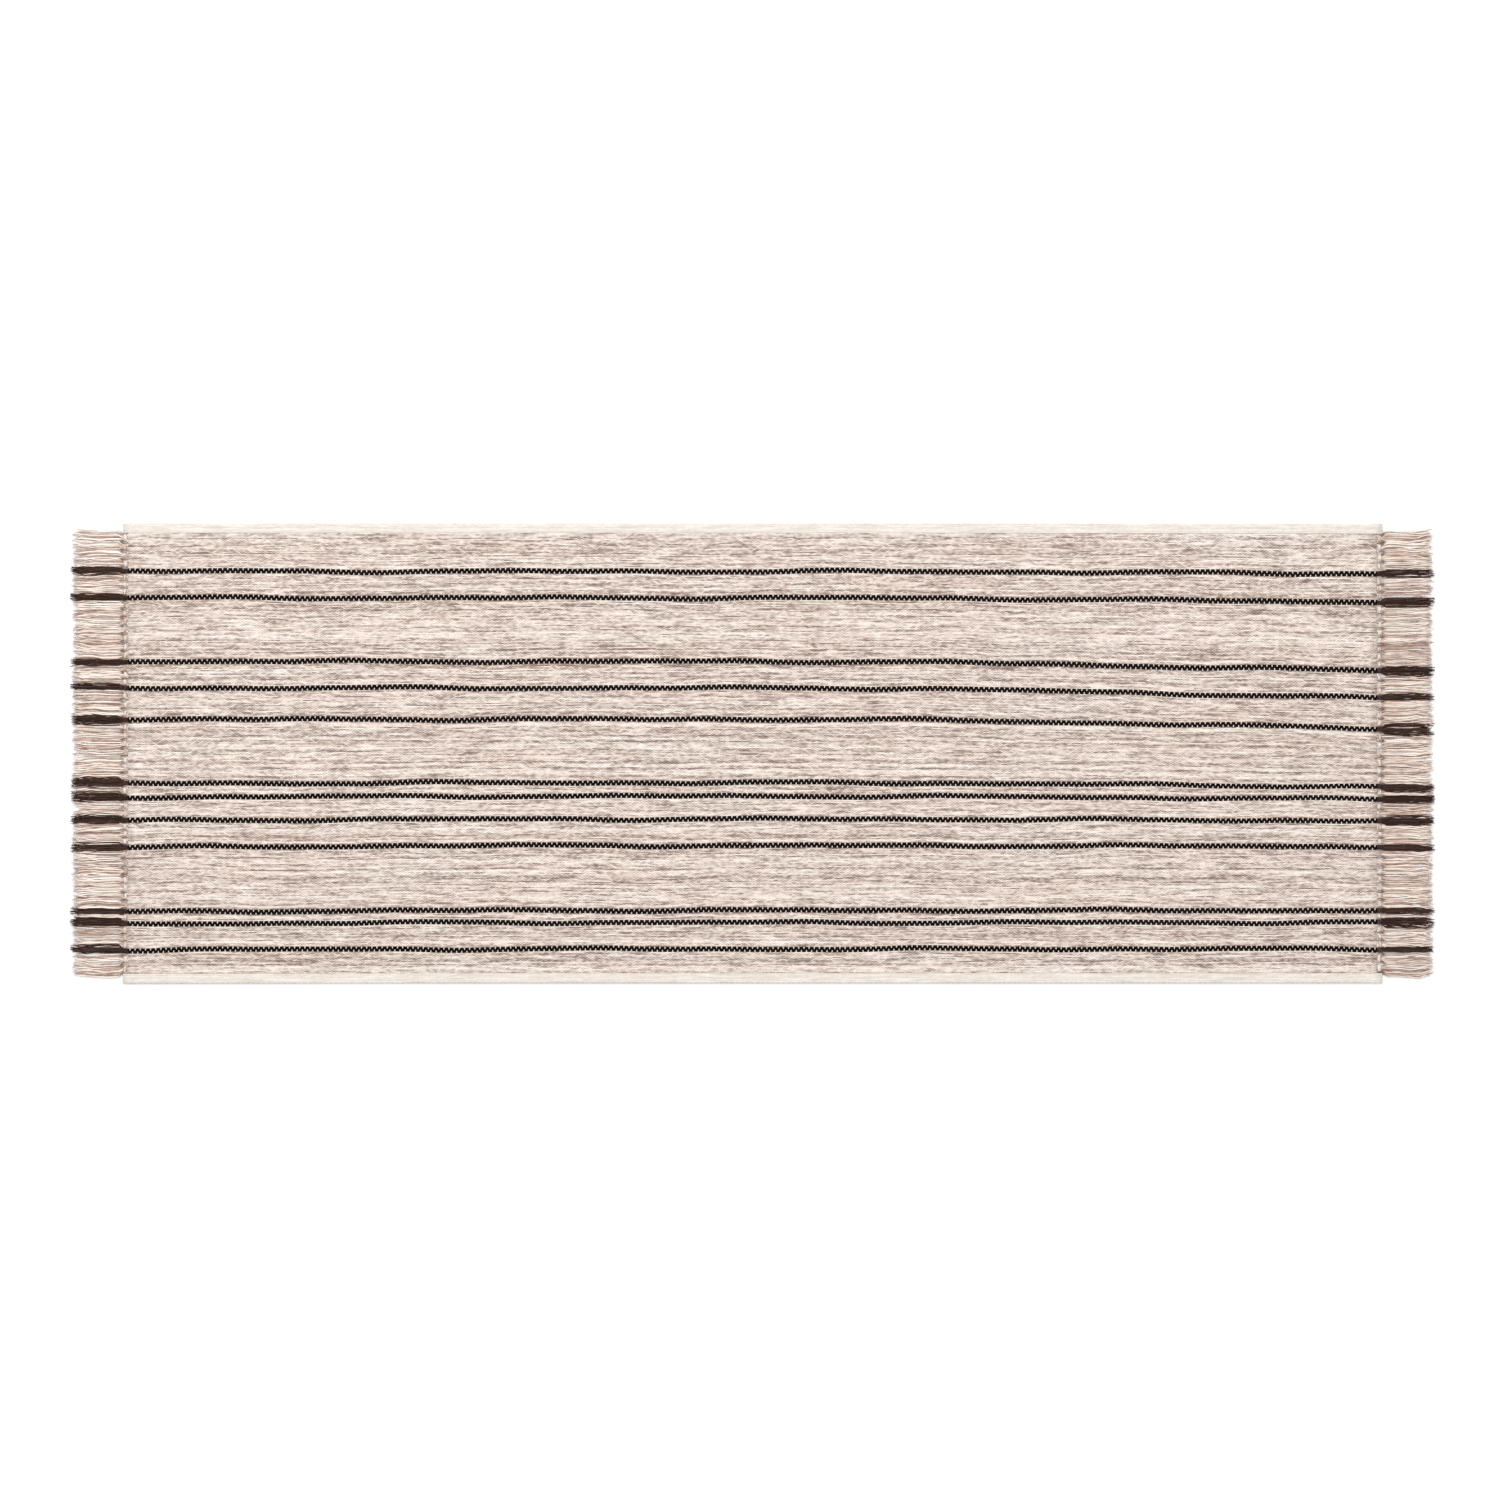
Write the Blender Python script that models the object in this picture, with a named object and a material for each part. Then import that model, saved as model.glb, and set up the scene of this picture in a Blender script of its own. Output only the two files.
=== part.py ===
"""A flat-woven cotton runner rug with knotted warp fringe at both ends.

The rug is built as it is woven. One weft runs back and forth across the whole width. Over it lie the
warps, in the order of the warp plan: a cream selvedge, bands of space-dyed ground with narrow dark
stripes between them, and the other selvedge. At each end a row of knots closes the cloth, and the
warps run on through it as fringe: pale strands, with a dark tassel where each stripe ends.

Frame: the origin is at the middle of the underside, +X runs along the warps, +Y across them, +Z up.
End "a" is at -X and end "b" at +X. Seen along +X, the left selvedge is at +Y. All sizes are metres.
"""

import math

import bmesh
import bpy

# The warp plan, from +Y to -Y: ends in each ground band, with one dark stripe between two bands.
GROUND_ENDS = (30, 18, 49, 18, 22, 49, 7, 15, 18, 50, 6, 18, 18)
SELVEDGE_ENDS = 8
END_PITCH = 0.00158  # the width that one warp end takes in the cloth
STRIPE_WIDTH = 0.0066  # two heavy dark ends, side by side

# Along the warps.
BODY_LENGTH = 1.665  # woven cloth and its two knot rows, without the fringe
HEM_DEPTH = 0.010  # one knot row, along the warps
FRINGE_LENGTH = 0.0675  # from the knots to the trimmed tips

# Thicknesses and heights.
WEFT_THICKNESS = 0.0010
WARP_THICKNESS = 0.0027
STRIPE_RISE = 0.0006  # how far the heavy dark ends stand above the ground
KNOT_HEIGHT = 0.0060
FRINGE_THICKNESS = 0.0040

# Details.
WEFT_TURN = 0.0006  # how far the weft's turns stand out past each selvedge
KNOT_PITCH = 0.0110
KNOT_SCALLOP = 0.0015  # how far each knot's face bulges out
TASSEL_WIDTH = 0.0125  # a dark tassel where it is widest
TASSEL_TIP_TAPER = 0.0010  # how much narrower it is at its tips
ROOT_BAR_DEPTH = 0.0050  # where the pale strands meet behind the knots, under the tassels
ROOT_BAR_HEIGHT = 0.0012

# The warps were beaten a little out of line towards end b: their slant and where it is largest.
DRIFT_START = 0.195  # x where the yarns begin to lean towards -Y
DRIFT_AT_END = 0.0133  # how far the most slanted yarn has moved at the end of the cloth
DRIFT_CENTRE = 0.085  # y of that yarn
DRIFT_SPREAD = 0.130  # how far across the rug the slant reaches

CLEARANCE = 0.0003  # between any two pieces
KNOT_ARC_STEPS = 4  # straight steps in one knot's bulge

HALF_BODY = BODY_LENGTH / 2
CLOTH_END = HALF_BODY - HEM_DEPTH - CLEARANCE  # where ground, stripes and weft stop
WARP_BOTTOM = WEFT_THICKNESS + CLEARANCE
CLOTH_TOP = WARP_BOTTOM + WARP_THICKNESS
HINGE_X = HALF_BODY + CLEARANCE  # the fringe folds here, just past the knots
HINGE_Z = KNOT_HEIGHT + CLEARANCE

# Shares of the fringe's length where a tassel's outline has a corner.
TASSEL_STATIONS = (0.0, 0.3, 0.7, 1.0)


def clear_scene():
    """Removes every object, and every mesh and curve that they leave behind."""
    for thing in list(bpy.data.objects):
        bpy.data.objects.remove(thing, do_unlink=True)
    for store in (bpy.data.meshes, bpy.data.curves, bpy.data.materials):
        for block in list(store):
            store.remove(block)


def linear(hex_colour):
    """Turns an sRGB colour such as "DCCDC1" into linear red, green, blue and alpha."""
    channels = [int(hex_colour[i : i + 2], 16) / 255 for i in (0, 2, 4)]
    low = [c / 12.92 for c in channels]
    high = [((c + 0.055) / 1.055) ** 2.4 for c in channels]
    return [h if c > 0.04045 else l for c, l, h in zip(channels, low, high)] + [1.0]


def yarn_material(name, hex_colour, roughness=0.9):
    """Makes a matt yarn material of one colour."""
    material = bpy.data.materials.new(name)
    material.use_nodes = True
    shader = material.node_tree.nodes["Principled BSDF"]
    shader.inputs["Base Color"].default_value = linear(hex_colour)
    shader.inputs["Roughness"].default_value = roughness
    shader.inputs["Metallic"].default_value = 0.0
    return material


# ---------------------------------------------------------------- the warp plan


def warp_strips():
    """Lists the warp groups from +Y to -Y as (name, kind, upper y, lower y), before any drift."""
    selvedge = SELVEDGE_ENDS * END_PITCH
    widths = [("selvedge_left", "selvedge", selvedge)]
    for number, ends in enumerate(GROUND_ENDS, start=1):
        widths.append((f"ground_warp_{number:02d}", "ground", ends * END_PITCH))
        if number < len(GROUND_ENDS):
            widths.append((f"stripe_warp_{number:02d}", "stripe", STRIPE_WIDTH))
    widths.append(("selvedge_right", "selvedge", selvedge))
    upper = sum(width for _, _, width in widths) / 2
    strips = []
    for name, kind, width in widths:
        strips.append((name, kind, upper, upper - width))
        upper -= width
    return strips


def drifted(x, y):
    """Gives the y, at x, of the yarn that lies at y in the middle of the rug."""
    ramp = max(0.0, (x - DRIFT_START) / (HALF_BODY - DRIFT_START))
    bell = math.exp(-(((y - DRIFT_CENTRE) / DRIFT_SPREAD) ** 2))
    return y - DRIFT_AT_END * ramp * bell


# ---------------------------------------------------------------- shapes


def add_object(name, data, collection, material, parent=None):
    """Links a new object to the rug's collection, with its material and its parent."""
    piece = bpy.data.objects.new(name, data)
    piece.data.materials.append(material)
    collection.objects.link(piece)
    if parent:
        piece.parent = parent
        piece.matrix_parent_inverse = parent.matrix_world.inverted()
    return piece


def plan_piece(name, outline, bottom, top, collection, material):
    """Extrudes a flat outline, seen from above, between two heights."""
    curve = bpy.data.curves.new(name, "CURVE")
    curve.dimensions = "2D"
    curve.fill_mode = "BOTH"
    curve.extrude = (top - bottom) / 2
    spline = curve.splines.new("POLY")
    spline.points.add(len(outline) - 1)
    for point, (x, y) in zip(spline.points, outline):
        point.co = (x, y, 0.0, 1.0)
    spline.use_cyclic_u = True
    piece = add_object(name, curve, collection, material)
    piece.location.z = (top + bottom) / 2
    return piece


def extrude_flat(bm, faces, height):
    """Extrudes loose level faces straight up into a closed block, and gives its top faces."""
    moved = bmesh.ops.extrude_face_region(bm, geom=faces)["geom"]
    points = [item for item in moved if isinstance(item, bmesh.types.BMVert)]
    bmesh.ops.translate(bm, verts=points, vec=(0.0, 0.0, height))
    return [item for item in moved if isinstance(item, bmesh.types.BMFace)]


def extrude_from_block(bm, faces, height):
    """Carries some level faces of a closed block up, or down for a negative height."""
    extrude_flat(bm, faces, height)
    bmesh.ops.delete(bm, geom=faces, context="FACES_ONLY")


def finished_mesh(bm, name):
    """Turns the faces outwards and gives the mesh."""
    bmesh.ops.recalc_face_normals(bm, faces=bm.faces[:])
    mesh = bpy.data.meshes.new(name)
    bm.to_mesh(mesh)
    bm.free()
    return mesh


# ---------------------------------------------------------------- the woven cloth


def make_weft(strips, collection, material):
    """The weft: the one yarn that crosses every warp, as the layer that it fills."""
    half_width = strips[0][2] + WEFT_TURN
    corners = [
        (-CLOTH_END, -half_width),
        (CLOTH_END, -half_width),
        (CLOTH_END, half_width),
        (-CLOTH_END, half_width),
    ]
    plan_piece("weft", corners, 0.0, WEFT_THICKNESS, collection, material)


def make_warp_strip(strip, collection, material):
    """One group of warps: straight up to where the drift starts, then slanted to the end."""
    name, kind, upper, lower = strip
    end = HALF_BODY if kind == "selvedge" else CLOTH_END
    stations = (-end, DRIFT_START, end)
    low_side = [(x, drifted(x, lower) + CLEARANCE / 2) for x in stations]
    high_side = [(x, drifted(x, upper) - CLEARANCE / 2) for x in reversed(stations)]
    top = CLOTH_TOP + (STRIPE_RISE if kind == "stripe" else 0.0)
    plan_piece(name, low_side + high_side, WARP_BOTTOM, top, collection, material)


# ---------------------------------------------------------------- ends: knots and fringe


def fringe_limits(strips, side):
    """Gives the lower and upper y between which knots and fringe lie: inside the selvedges."""
    x = side * HALF_BODY
    lower = drifted(x, strips[-1][2]) + CLEARANCE
    upper = drifted(x, strips[0][3]) - CLEARANCE
    return lower, upper


def make_knot_row(name, strips, side, collection, material):
    """The row of knots across one end, its outer face bulging at each knot."""
    lower, upper = fringe_limits(strips, side)
    knots = round((upper - lower) / KNOT_PITCH)
    steps = knots * KNOT_ARC_STEPS
    inner = side * (HALF_BODY - HEM_DEPTH)
    outline = [(inner, upper), (inner, lower)]
    for step in range(steps + 1):
        bulge = abs(math.sin(math.pi * step / KNOT_ARC_STEPS))
        x = side * (HALF_BODY - KNOT_SCALLOP * (1.0 - bulge))
        outline.append((x, lower + (upper - lower) * step / steps))
    plan_piece(name, outline, 0.0, KNOT_HEIGHT, collection, material)


def tassel_width(share):
    """A tassel's width at a share of the fringe's length: pinched at the knot, then fanned out."""
    widths = (
        STRIPE_WIDTH - CLEARANCE,
        0.5 * (STRIPE_WIDTH + TASSEL_WIDTH),
        TASSEL_WIDTH,
        TASSEL_WIDTH - TASSEL_TIP_TAPER,
    )
    for i in range(len(TASSEL_STATIONS) - 1):
        start, stop = TASSEL_STATIONS[i : i + 2]
        if share <= stop:
            part = (share - start) / (stop - start)
            return widths[i] + part * (widths[i + 1] - widths[i])
    return widths[-1]


def stations_with(first_step):
    """Distances from the knots at which an outline has corners, with an added first step."""
    return [0.0, first_step] + [share * FRINGE_LENGTH for share in TASSEL_STATIONS[1:]]


def make_tassel(name, centre, side, collection, material, hinge):
    """One dark tassel. Its root passes over the bar that joins the pale strands."""
    distances = stations_with(ROOT_BAR_DEPTH + CLEARANCE)
    step = ROOT_BAR_HEIGHT + CLEARANCE
    bm = bmesh.new()
    edges = []
    for distance in distances:
        half = tassel_width(distance / FRINGE_LENGTH) / 2
        x = side * (HINGE_X + distance)
        low = bm.verts.new((x, centre - half, step))
        high = bm.verts.new((x, centre + half, step))
        edges.append((low, high))
    for near, far in zip(edges, edges[1:]):
        bm.faces.new((near[0], far[0], far[1], near[1]))
    extrude_flat(bm, bm.faces[:], FRINGE_THICKNESS - step)
    root_end = HINGE_X + distances[1]
    under = []
    for face in bm.faces:
        middle = face.calc_center_median()
        if abs(middle.z - step) < CLEARANCE / 10 and side * middle.x > root_end:
            under.append(face)
    extrude_from_block(bm, under, -step)
    add_object(name, finished_mesh(bm, name), collection, material, hinge)


def make_pale_fringe(name, strips, centres, side, collection, material, hinge):
    """The pale strands of one end: fingers between the tassels, joined by a low bar at the knots."""
    lower, upper = fringe_limits(strips, side)
    distances = stations_with(ROOT_BAR_DEPTH)
    bm = bmesh.new()
    is_finger = bm.faces.layers.int.new("finger")
    rows = []
    for distance in distances:
        x = side * (HINGE_X + distance)
        gap = tassel_width(distance / FRINGE_LENGTH) / 2 + CLEARANCE
        ys = [lower]
        for centre in sorted(centres):
            ys += [centre - gap, centre + gap]
        ys.append(upper)
        rows.append([bm.verts.new((x, y, 0.0)) for y in ys])
    for number, (near, far) in enumerate(zip(rows, rows[1:])):
        for cell in range(len(near) - 1):
            finger = cell % 2 == 0
            if not finger and number > 0:
                continue
            face = bm.faces.new((near[cell], far[cell], far[cell + 1], near[cell + 1]))
            face[is_finger] = int(finger)
    raised = extrude_flat(bm, bm.faces[:], ROOT_BAR_HEIGHT)
    fingers = [face for face in raised if face[is_finger]]
    extrude_from_block(bm, fingers, FRINGE_THICKNESS - ROOT_BAR_HEIGHT)
    add_object(name, finished_mesh(bm, name), collection, material, hinge)


def make_end(letter, side, strips, collection, finishes):
    """One end of the rug: its knot row, and the fringe that folds at the knots."""
    make_knot_row(f"knot_row_{letter}", strips, side, collection, finishes["knots"])
    hinge = bpy.data.objects.new(f"fringe_hinge_{letter}", None)
    hinge.location = (side * HINGE_X, 0.0, HINGE_Z)
    collection.objects.link(hinge)
    bpy.context.view_layer.update()
    centres = []
    for _, kind, upper, lower in strips:
        if kind == "stripe":
            centres.append(drifted(side * HALF_BODY, (upper + lower) / 2))
    fringe = f"fringe_{letter}"
    pale = finishes["fringe"]
    make_pale_fringe(fringe, strips, centres, side, collection, pale, hinge)
    for number, centre in enumerate(centres, start=1):
        tassel = f"tassel_{letter}_{number:02d}"
        make_tassel(tassel, centre, side, collection, finishes["tassel"], hinge)


def main():
    """Builds the rug."""
    clear_scene()
    collection = bpy.data.collections.new("runner_rug")
    bpy.context.scene.collection.children.link(collection)
    finishes = {
        "ground": yarn_material("ground_yarn", "DCCDC1"),
        "stripe": yarn_material("stripe_yarn", "2B1F1C"),
        "selvedge": yarn_material("selvedge_yarn", "F1E9DD"),
        "weft": yarn_material("weft_yarn", "E9DFD2"),
        "knots": yarn_material("knot_yarn", "E4D6C9"),
        "fringe": yarn_material("fringe_yarn", "D8C4B4"),
        "tassel": yarn_material("tassel_yarn", "463631"),
    }
    strips = warp_strips()
    make_weft(strips, collection, finishes["weft"])
    for strip in strips:
        make_warp_strip(strip, collection, finishes[strip[1]])
    for letter, side in (("a", -1), ("b", 1)):
        make_end(letter, side, strips, collection, finishes)


main()
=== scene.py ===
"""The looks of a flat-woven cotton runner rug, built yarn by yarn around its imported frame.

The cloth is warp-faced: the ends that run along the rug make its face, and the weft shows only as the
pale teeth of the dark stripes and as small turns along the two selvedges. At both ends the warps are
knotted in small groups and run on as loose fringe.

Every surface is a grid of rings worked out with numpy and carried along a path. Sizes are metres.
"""

from __future__ import annotations

import logging
import math
from dataclasses import dataclass, field
from enum import Enum, IntEnum

import bpy
import numpy as np
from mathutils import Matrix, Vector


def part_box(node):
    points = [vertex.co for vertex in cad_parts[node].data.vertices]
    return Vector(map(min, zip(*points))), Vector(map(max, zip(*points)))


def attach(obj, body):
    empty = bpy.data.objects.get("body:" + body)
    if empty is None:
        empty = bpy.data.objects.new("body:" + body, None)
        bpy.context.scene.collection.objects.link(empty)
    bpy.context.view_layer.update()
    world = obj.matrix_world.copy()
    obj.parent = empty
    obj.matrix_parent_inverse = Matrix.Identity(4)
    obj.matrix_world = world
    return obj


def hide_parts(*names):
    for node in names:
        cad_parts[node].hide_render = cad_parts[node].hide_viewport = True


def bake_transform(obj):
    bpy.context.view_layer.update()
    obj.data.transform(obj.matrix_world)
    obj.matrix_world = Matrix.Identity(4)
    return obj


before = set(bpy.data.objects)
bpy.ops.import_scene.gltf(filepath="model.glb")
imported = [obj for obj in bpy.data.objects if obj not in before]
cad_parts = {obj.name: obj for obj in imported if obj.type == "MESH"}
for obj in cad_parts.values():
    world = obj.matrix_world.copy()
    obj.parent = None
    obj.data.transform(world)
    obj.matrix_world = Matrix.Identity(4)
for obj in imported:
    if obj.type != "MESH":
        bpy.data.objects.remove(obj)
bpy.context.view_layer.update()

LOG = logging.getLogger("runner_rug")
MM = 0.001
TAU = 2.0 * math.pi
UPWARDS = np.array([0.0, 0.0, 1.0])
ALONG_RUG = np.array([1.0, 0.0, 0.0])
THREAD_STEP = 5.37  # how far apart in the noise two neighbouring threads take their dye
NOISE_REACH = (0.35, 0.65)  # the noise's usual low and high


class End(Enum):
    """The rug's two ends: the letter in their names and the way they face along X."""

    A = ("a", -1.0)
    B = ("b", 1.0)

    @property
    def letter(self) -> str:
        """The end's letter."""
        return self.value[0]

    @property
    def side(self) -> float:
        """-1 for the end at -X, 1 for the end at +X."""
        return self.value[1]

    @property
    def threads(self) -> int:
        """How many thread numbers are kept free before this end's own."""
        return 0 if self is End.A else 2000


class Kind(Enum):
    """What a group of warps is: the start of its node's name."""

    SELVEDGE = "selvedge"
    GROUND = "ground_warp"
    STRIPE = "stripe_warp"


class FirstThread(IntEnum):
    """The first thread number of each family of yarns, so that no two yarns share their dye."""

    CLOTH = 0
    STRIPE = 1000
    TEETH = 2000
    TURN = 4000
    PALE = 5000
    TASSEL = 9000
    KNOT = 11000


# ------------------------------------------------------------------------ mesh tools


def seeded(*words: str | int) -> np.random.Generator:
    """Gives a random source that is the same for the same words on every run.

    Args:
        words: what the draws are for, such as a piece's name.

    Returns:
        A numpy generator seeded by a rolling sum of the words' characters.
    """
    seed = 7
    for character in "/".join(str(word) for word in words):
        seed = (seed * 131 + ord(character)) % 2147483647
    return np.random.default_rng(seed)


def smoothstep(t: np.ndarray) -> np.ndarray:
    """Eases a share from 0 to 1: three times its square less twice its cube, held at both ends."""
    t = np.clip(t, 0.0, 1.0)
    return t * t * (3.0 - 2.0 * t)


def skin(
    name: str,
    points: np.ndarray,
    faces: list[np.ndarray],
    marks: dict[str, np.ndarray],
    material: bpy.types.Material,
) -> bpy.types.Object:
    """Makes a piece from its points and faces.

    Args:
        name: the piece's name.
        points: points as (..., 3).
        faces: point numbers as (faces, corners), one array for each number of corners.
        marks: point attributes by name, each in the points' shape.
        material: the piece's finish.

    Returns:
        The new object, at the origin, with its place in its mesh.
    """
    sizes = np.concatenate([np.full(len(same), same.shape[1]) for same in faces])
    starts = np.concatenate([[0], np.cumsum(sizes)[:-1]])
    corners = np.concatenate([same.ravel() for same in faces])
    mesh = bpy.data.meshes.new(name)
    mesh.vertices.add(points.size // 3)
    mesh.vertices.foreach_set("co", points.astype(np.float32).ravel())
    mesh.loops.add(len(corners))
    mesh.loops.foreach_set("vertex_index", corners.astype(np.int32))
    mesh.polygons.add(len(sizes))
    mesh.polygons.foreach_set("loop_start", starts.astype(np.int32))
    mesh.polygons.foreach_set("use_smooth", np.ones(len(sizes), bool))
    mesh.update(calc_edges=True)
    for mark, values in marks.items():
        layer = mesh.attributes.new(mark, "FLOAT", "POINT")
        values = np.broadcast_to(values, points.shape[:-1])
        layer.data.foreach_set("value", values.astype(np.float32).ravel())
    mesh.materials.append(material)
    piece = bpy.data.objects.new(name, mesh)
    bpy.context.scene.collection.objects.link(piece)
    return piece


def loft(
    name: str, rings: np.ndarray, marks: dict[str, np.ndarray], material: bpy.types.Material
) -> bpy.types.Object:
    """Skins a set of bodies, each a row of closed rings, and shuts their ends with one face each.

    Quad (i, j) of a body joins points j and j + 1 of ring i to the same points of ring i + 1, and
    the last point of a ring joins back to its first. The faces are turned over if the signed volume,
    the sum of each triangle's corner times the cross product of its sides over six, is negative.

    Args:
        name: the piece's name.
        rings: points as (bodies, stations, ring points, 3).
        marks: point attributes by name, each in the rings' shape or one that stretches to it.
        material: the piece's finish.

    Returns:
        The new object.
    """
    index = np.arange(rings.size // 3).reshape(rings.shape[:-1])
    across = np.roll(index, -1, axis=2)
    quads = np.stack([index[:, :-1], index[:, 1:], across[:, 1:], across[:, :-1]], axis=-1)
    quads = quads.reshape(-1, 4)
    caps = np.concatenate([index[:, 0], index[:, -1, ::-1]])
    first, second, third, fourth = (rings.reshape(-1, 3)[quads[:, corner]] for corner in range(4))
    volume = np.sum(first * np.cross(second, third)) + np.sum(first * np.cross(third, fourth))
    if volume < 0.0:
        quads, caps = quads[:, ::-1], caps[:, ::-1]
    return skin(name, rings, [quads, caps], marks, material)


def tube_rings(
    paths: np.ndarray, radii: np.ndarray, around: int, sideways: np.ndarray
) -> np.ndarray:
    """Carries an oval ring along each path.

    At every station the ring lies in the plane of two directions square to the path: across, the
    cross product of `sideways` and the path's direction, and up, the cross product of the path's
    direction and across. Point k stands at the turn k / around, starting below the path.

    Args:
        paths: points as (bodies, stations, 3).
        radii: half widths across and up, as (bodies, stations, 2).
        around: the number of points in a ring.
        sideways: a direction that no path runs along.

    Returns:
        Points as (bodies, stations, around, 3).
    """
    ahead = np.gradient(paths, axis=1)
    ahead /= np.linalg.norm(ahead, axis=2, keepdims=True)
    across = np.cross(np.broadcast_to(sideways, ahead.shape), ahead)
    across /= np.linalg.norm(across, axis=2, keepdims=True)
    up = np.cross(ahead, across)
    turn = (TAU * np.arange(around) / around)[:, None]
    swing = np.sin(turn) * across[:, :, None] * radii[:, :, None, 0:1]
    rise = -np.cos(turn) * up[:, :, None] * radii[:, :, None, 1:2]
    return paths[:, :, None] + swing + rise


def path_lengths(paths: np.ndarray) -> np.ndarray:
    """Sums each path's steps: the distance along it of every station."""
    steps = np.linalg.norm(np.diff(paths, axis=1), axis=2)
    return np.concatenate([np.zeros((len(paths), 1)), np.cumsum(steps, axis=1)], axis=1)


def yarn_marks(along: np.ndarray, threads: np.ndarray, around: int) -> dict[str, np.ndarray]:
    """Makes the point attributes that the yarn finishes read.

    Args:
        along: distance along each yarn, as (bodies, stations).
        threads: each body's thread number.
        around: the number of points in a ring.

    Returns:
        `along` in metres, `thread` as a number and a half, so that it never rounds to its
        neighbour's, and `around` from 0 to 1.
    """
    shape = (*along.shape, around)
    return {
        "along": np.broadcast_to(along[:, :, None], shape),
        "thread": np.broadcast_to(threads[:, None, None] + 0.5, shape),
        "around": np.broadcast_to(np.arange(around) / around, shape),
    }


# ------------------------------------------------------------------------ finishes


def linear(hex_colour: str) -> tuple[float, float, float, float]:
    """Turns an sRGB colour such as "DCCDC1" into linear light.

    Each channel c, as a share of 255, becomes c / 12.92 up to 0.04045, and above it the 2.4th power
    of (c + 0.055) / 1.055.

    Args:
        hex_colour: six hex digits.

    Returns:
        Red, green, blue and an alpha of 1.
    """
    channels = [int(hex_colour[i : i + 2], 16) / 255 for i in (0, 2, 4)]
    red, green, blue = (c / 12.92 if c <= 0.04045 else ((c + 0.055) / 1.055) ** 2.4 for c in channels)
    return red, green, blue, 1.0


def add_node(
    tree: bpy.types.NodeTree,
    kind: str,
    inputs: dict[str | int, object] | None = None,
    **settings: object,
) -> bpy.types.Node:
    """Adds one shader node, with its settings, values and links.

    Args:
        tree: the material's node tree.
        kind: the node's type, such as "ShaderNodeTexNoise".
        inputs: socket names or numbers, each with a value or with the socket that feeds it.
        settings: the node's own properties.

    Returns:
        The new node.
    """
    node = tree.nodes.new(kind)
    for setting, value in settings.items():
        setattr(node, setting, value)
    for socket, value in (inputs or {}).items():
        if isinstance(value, bpy.types.NodeSocket):
            tree.links.new(value, node.inputs[socket])
        else:
            node.inputs[socket].default_value = value
    return node


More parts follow.
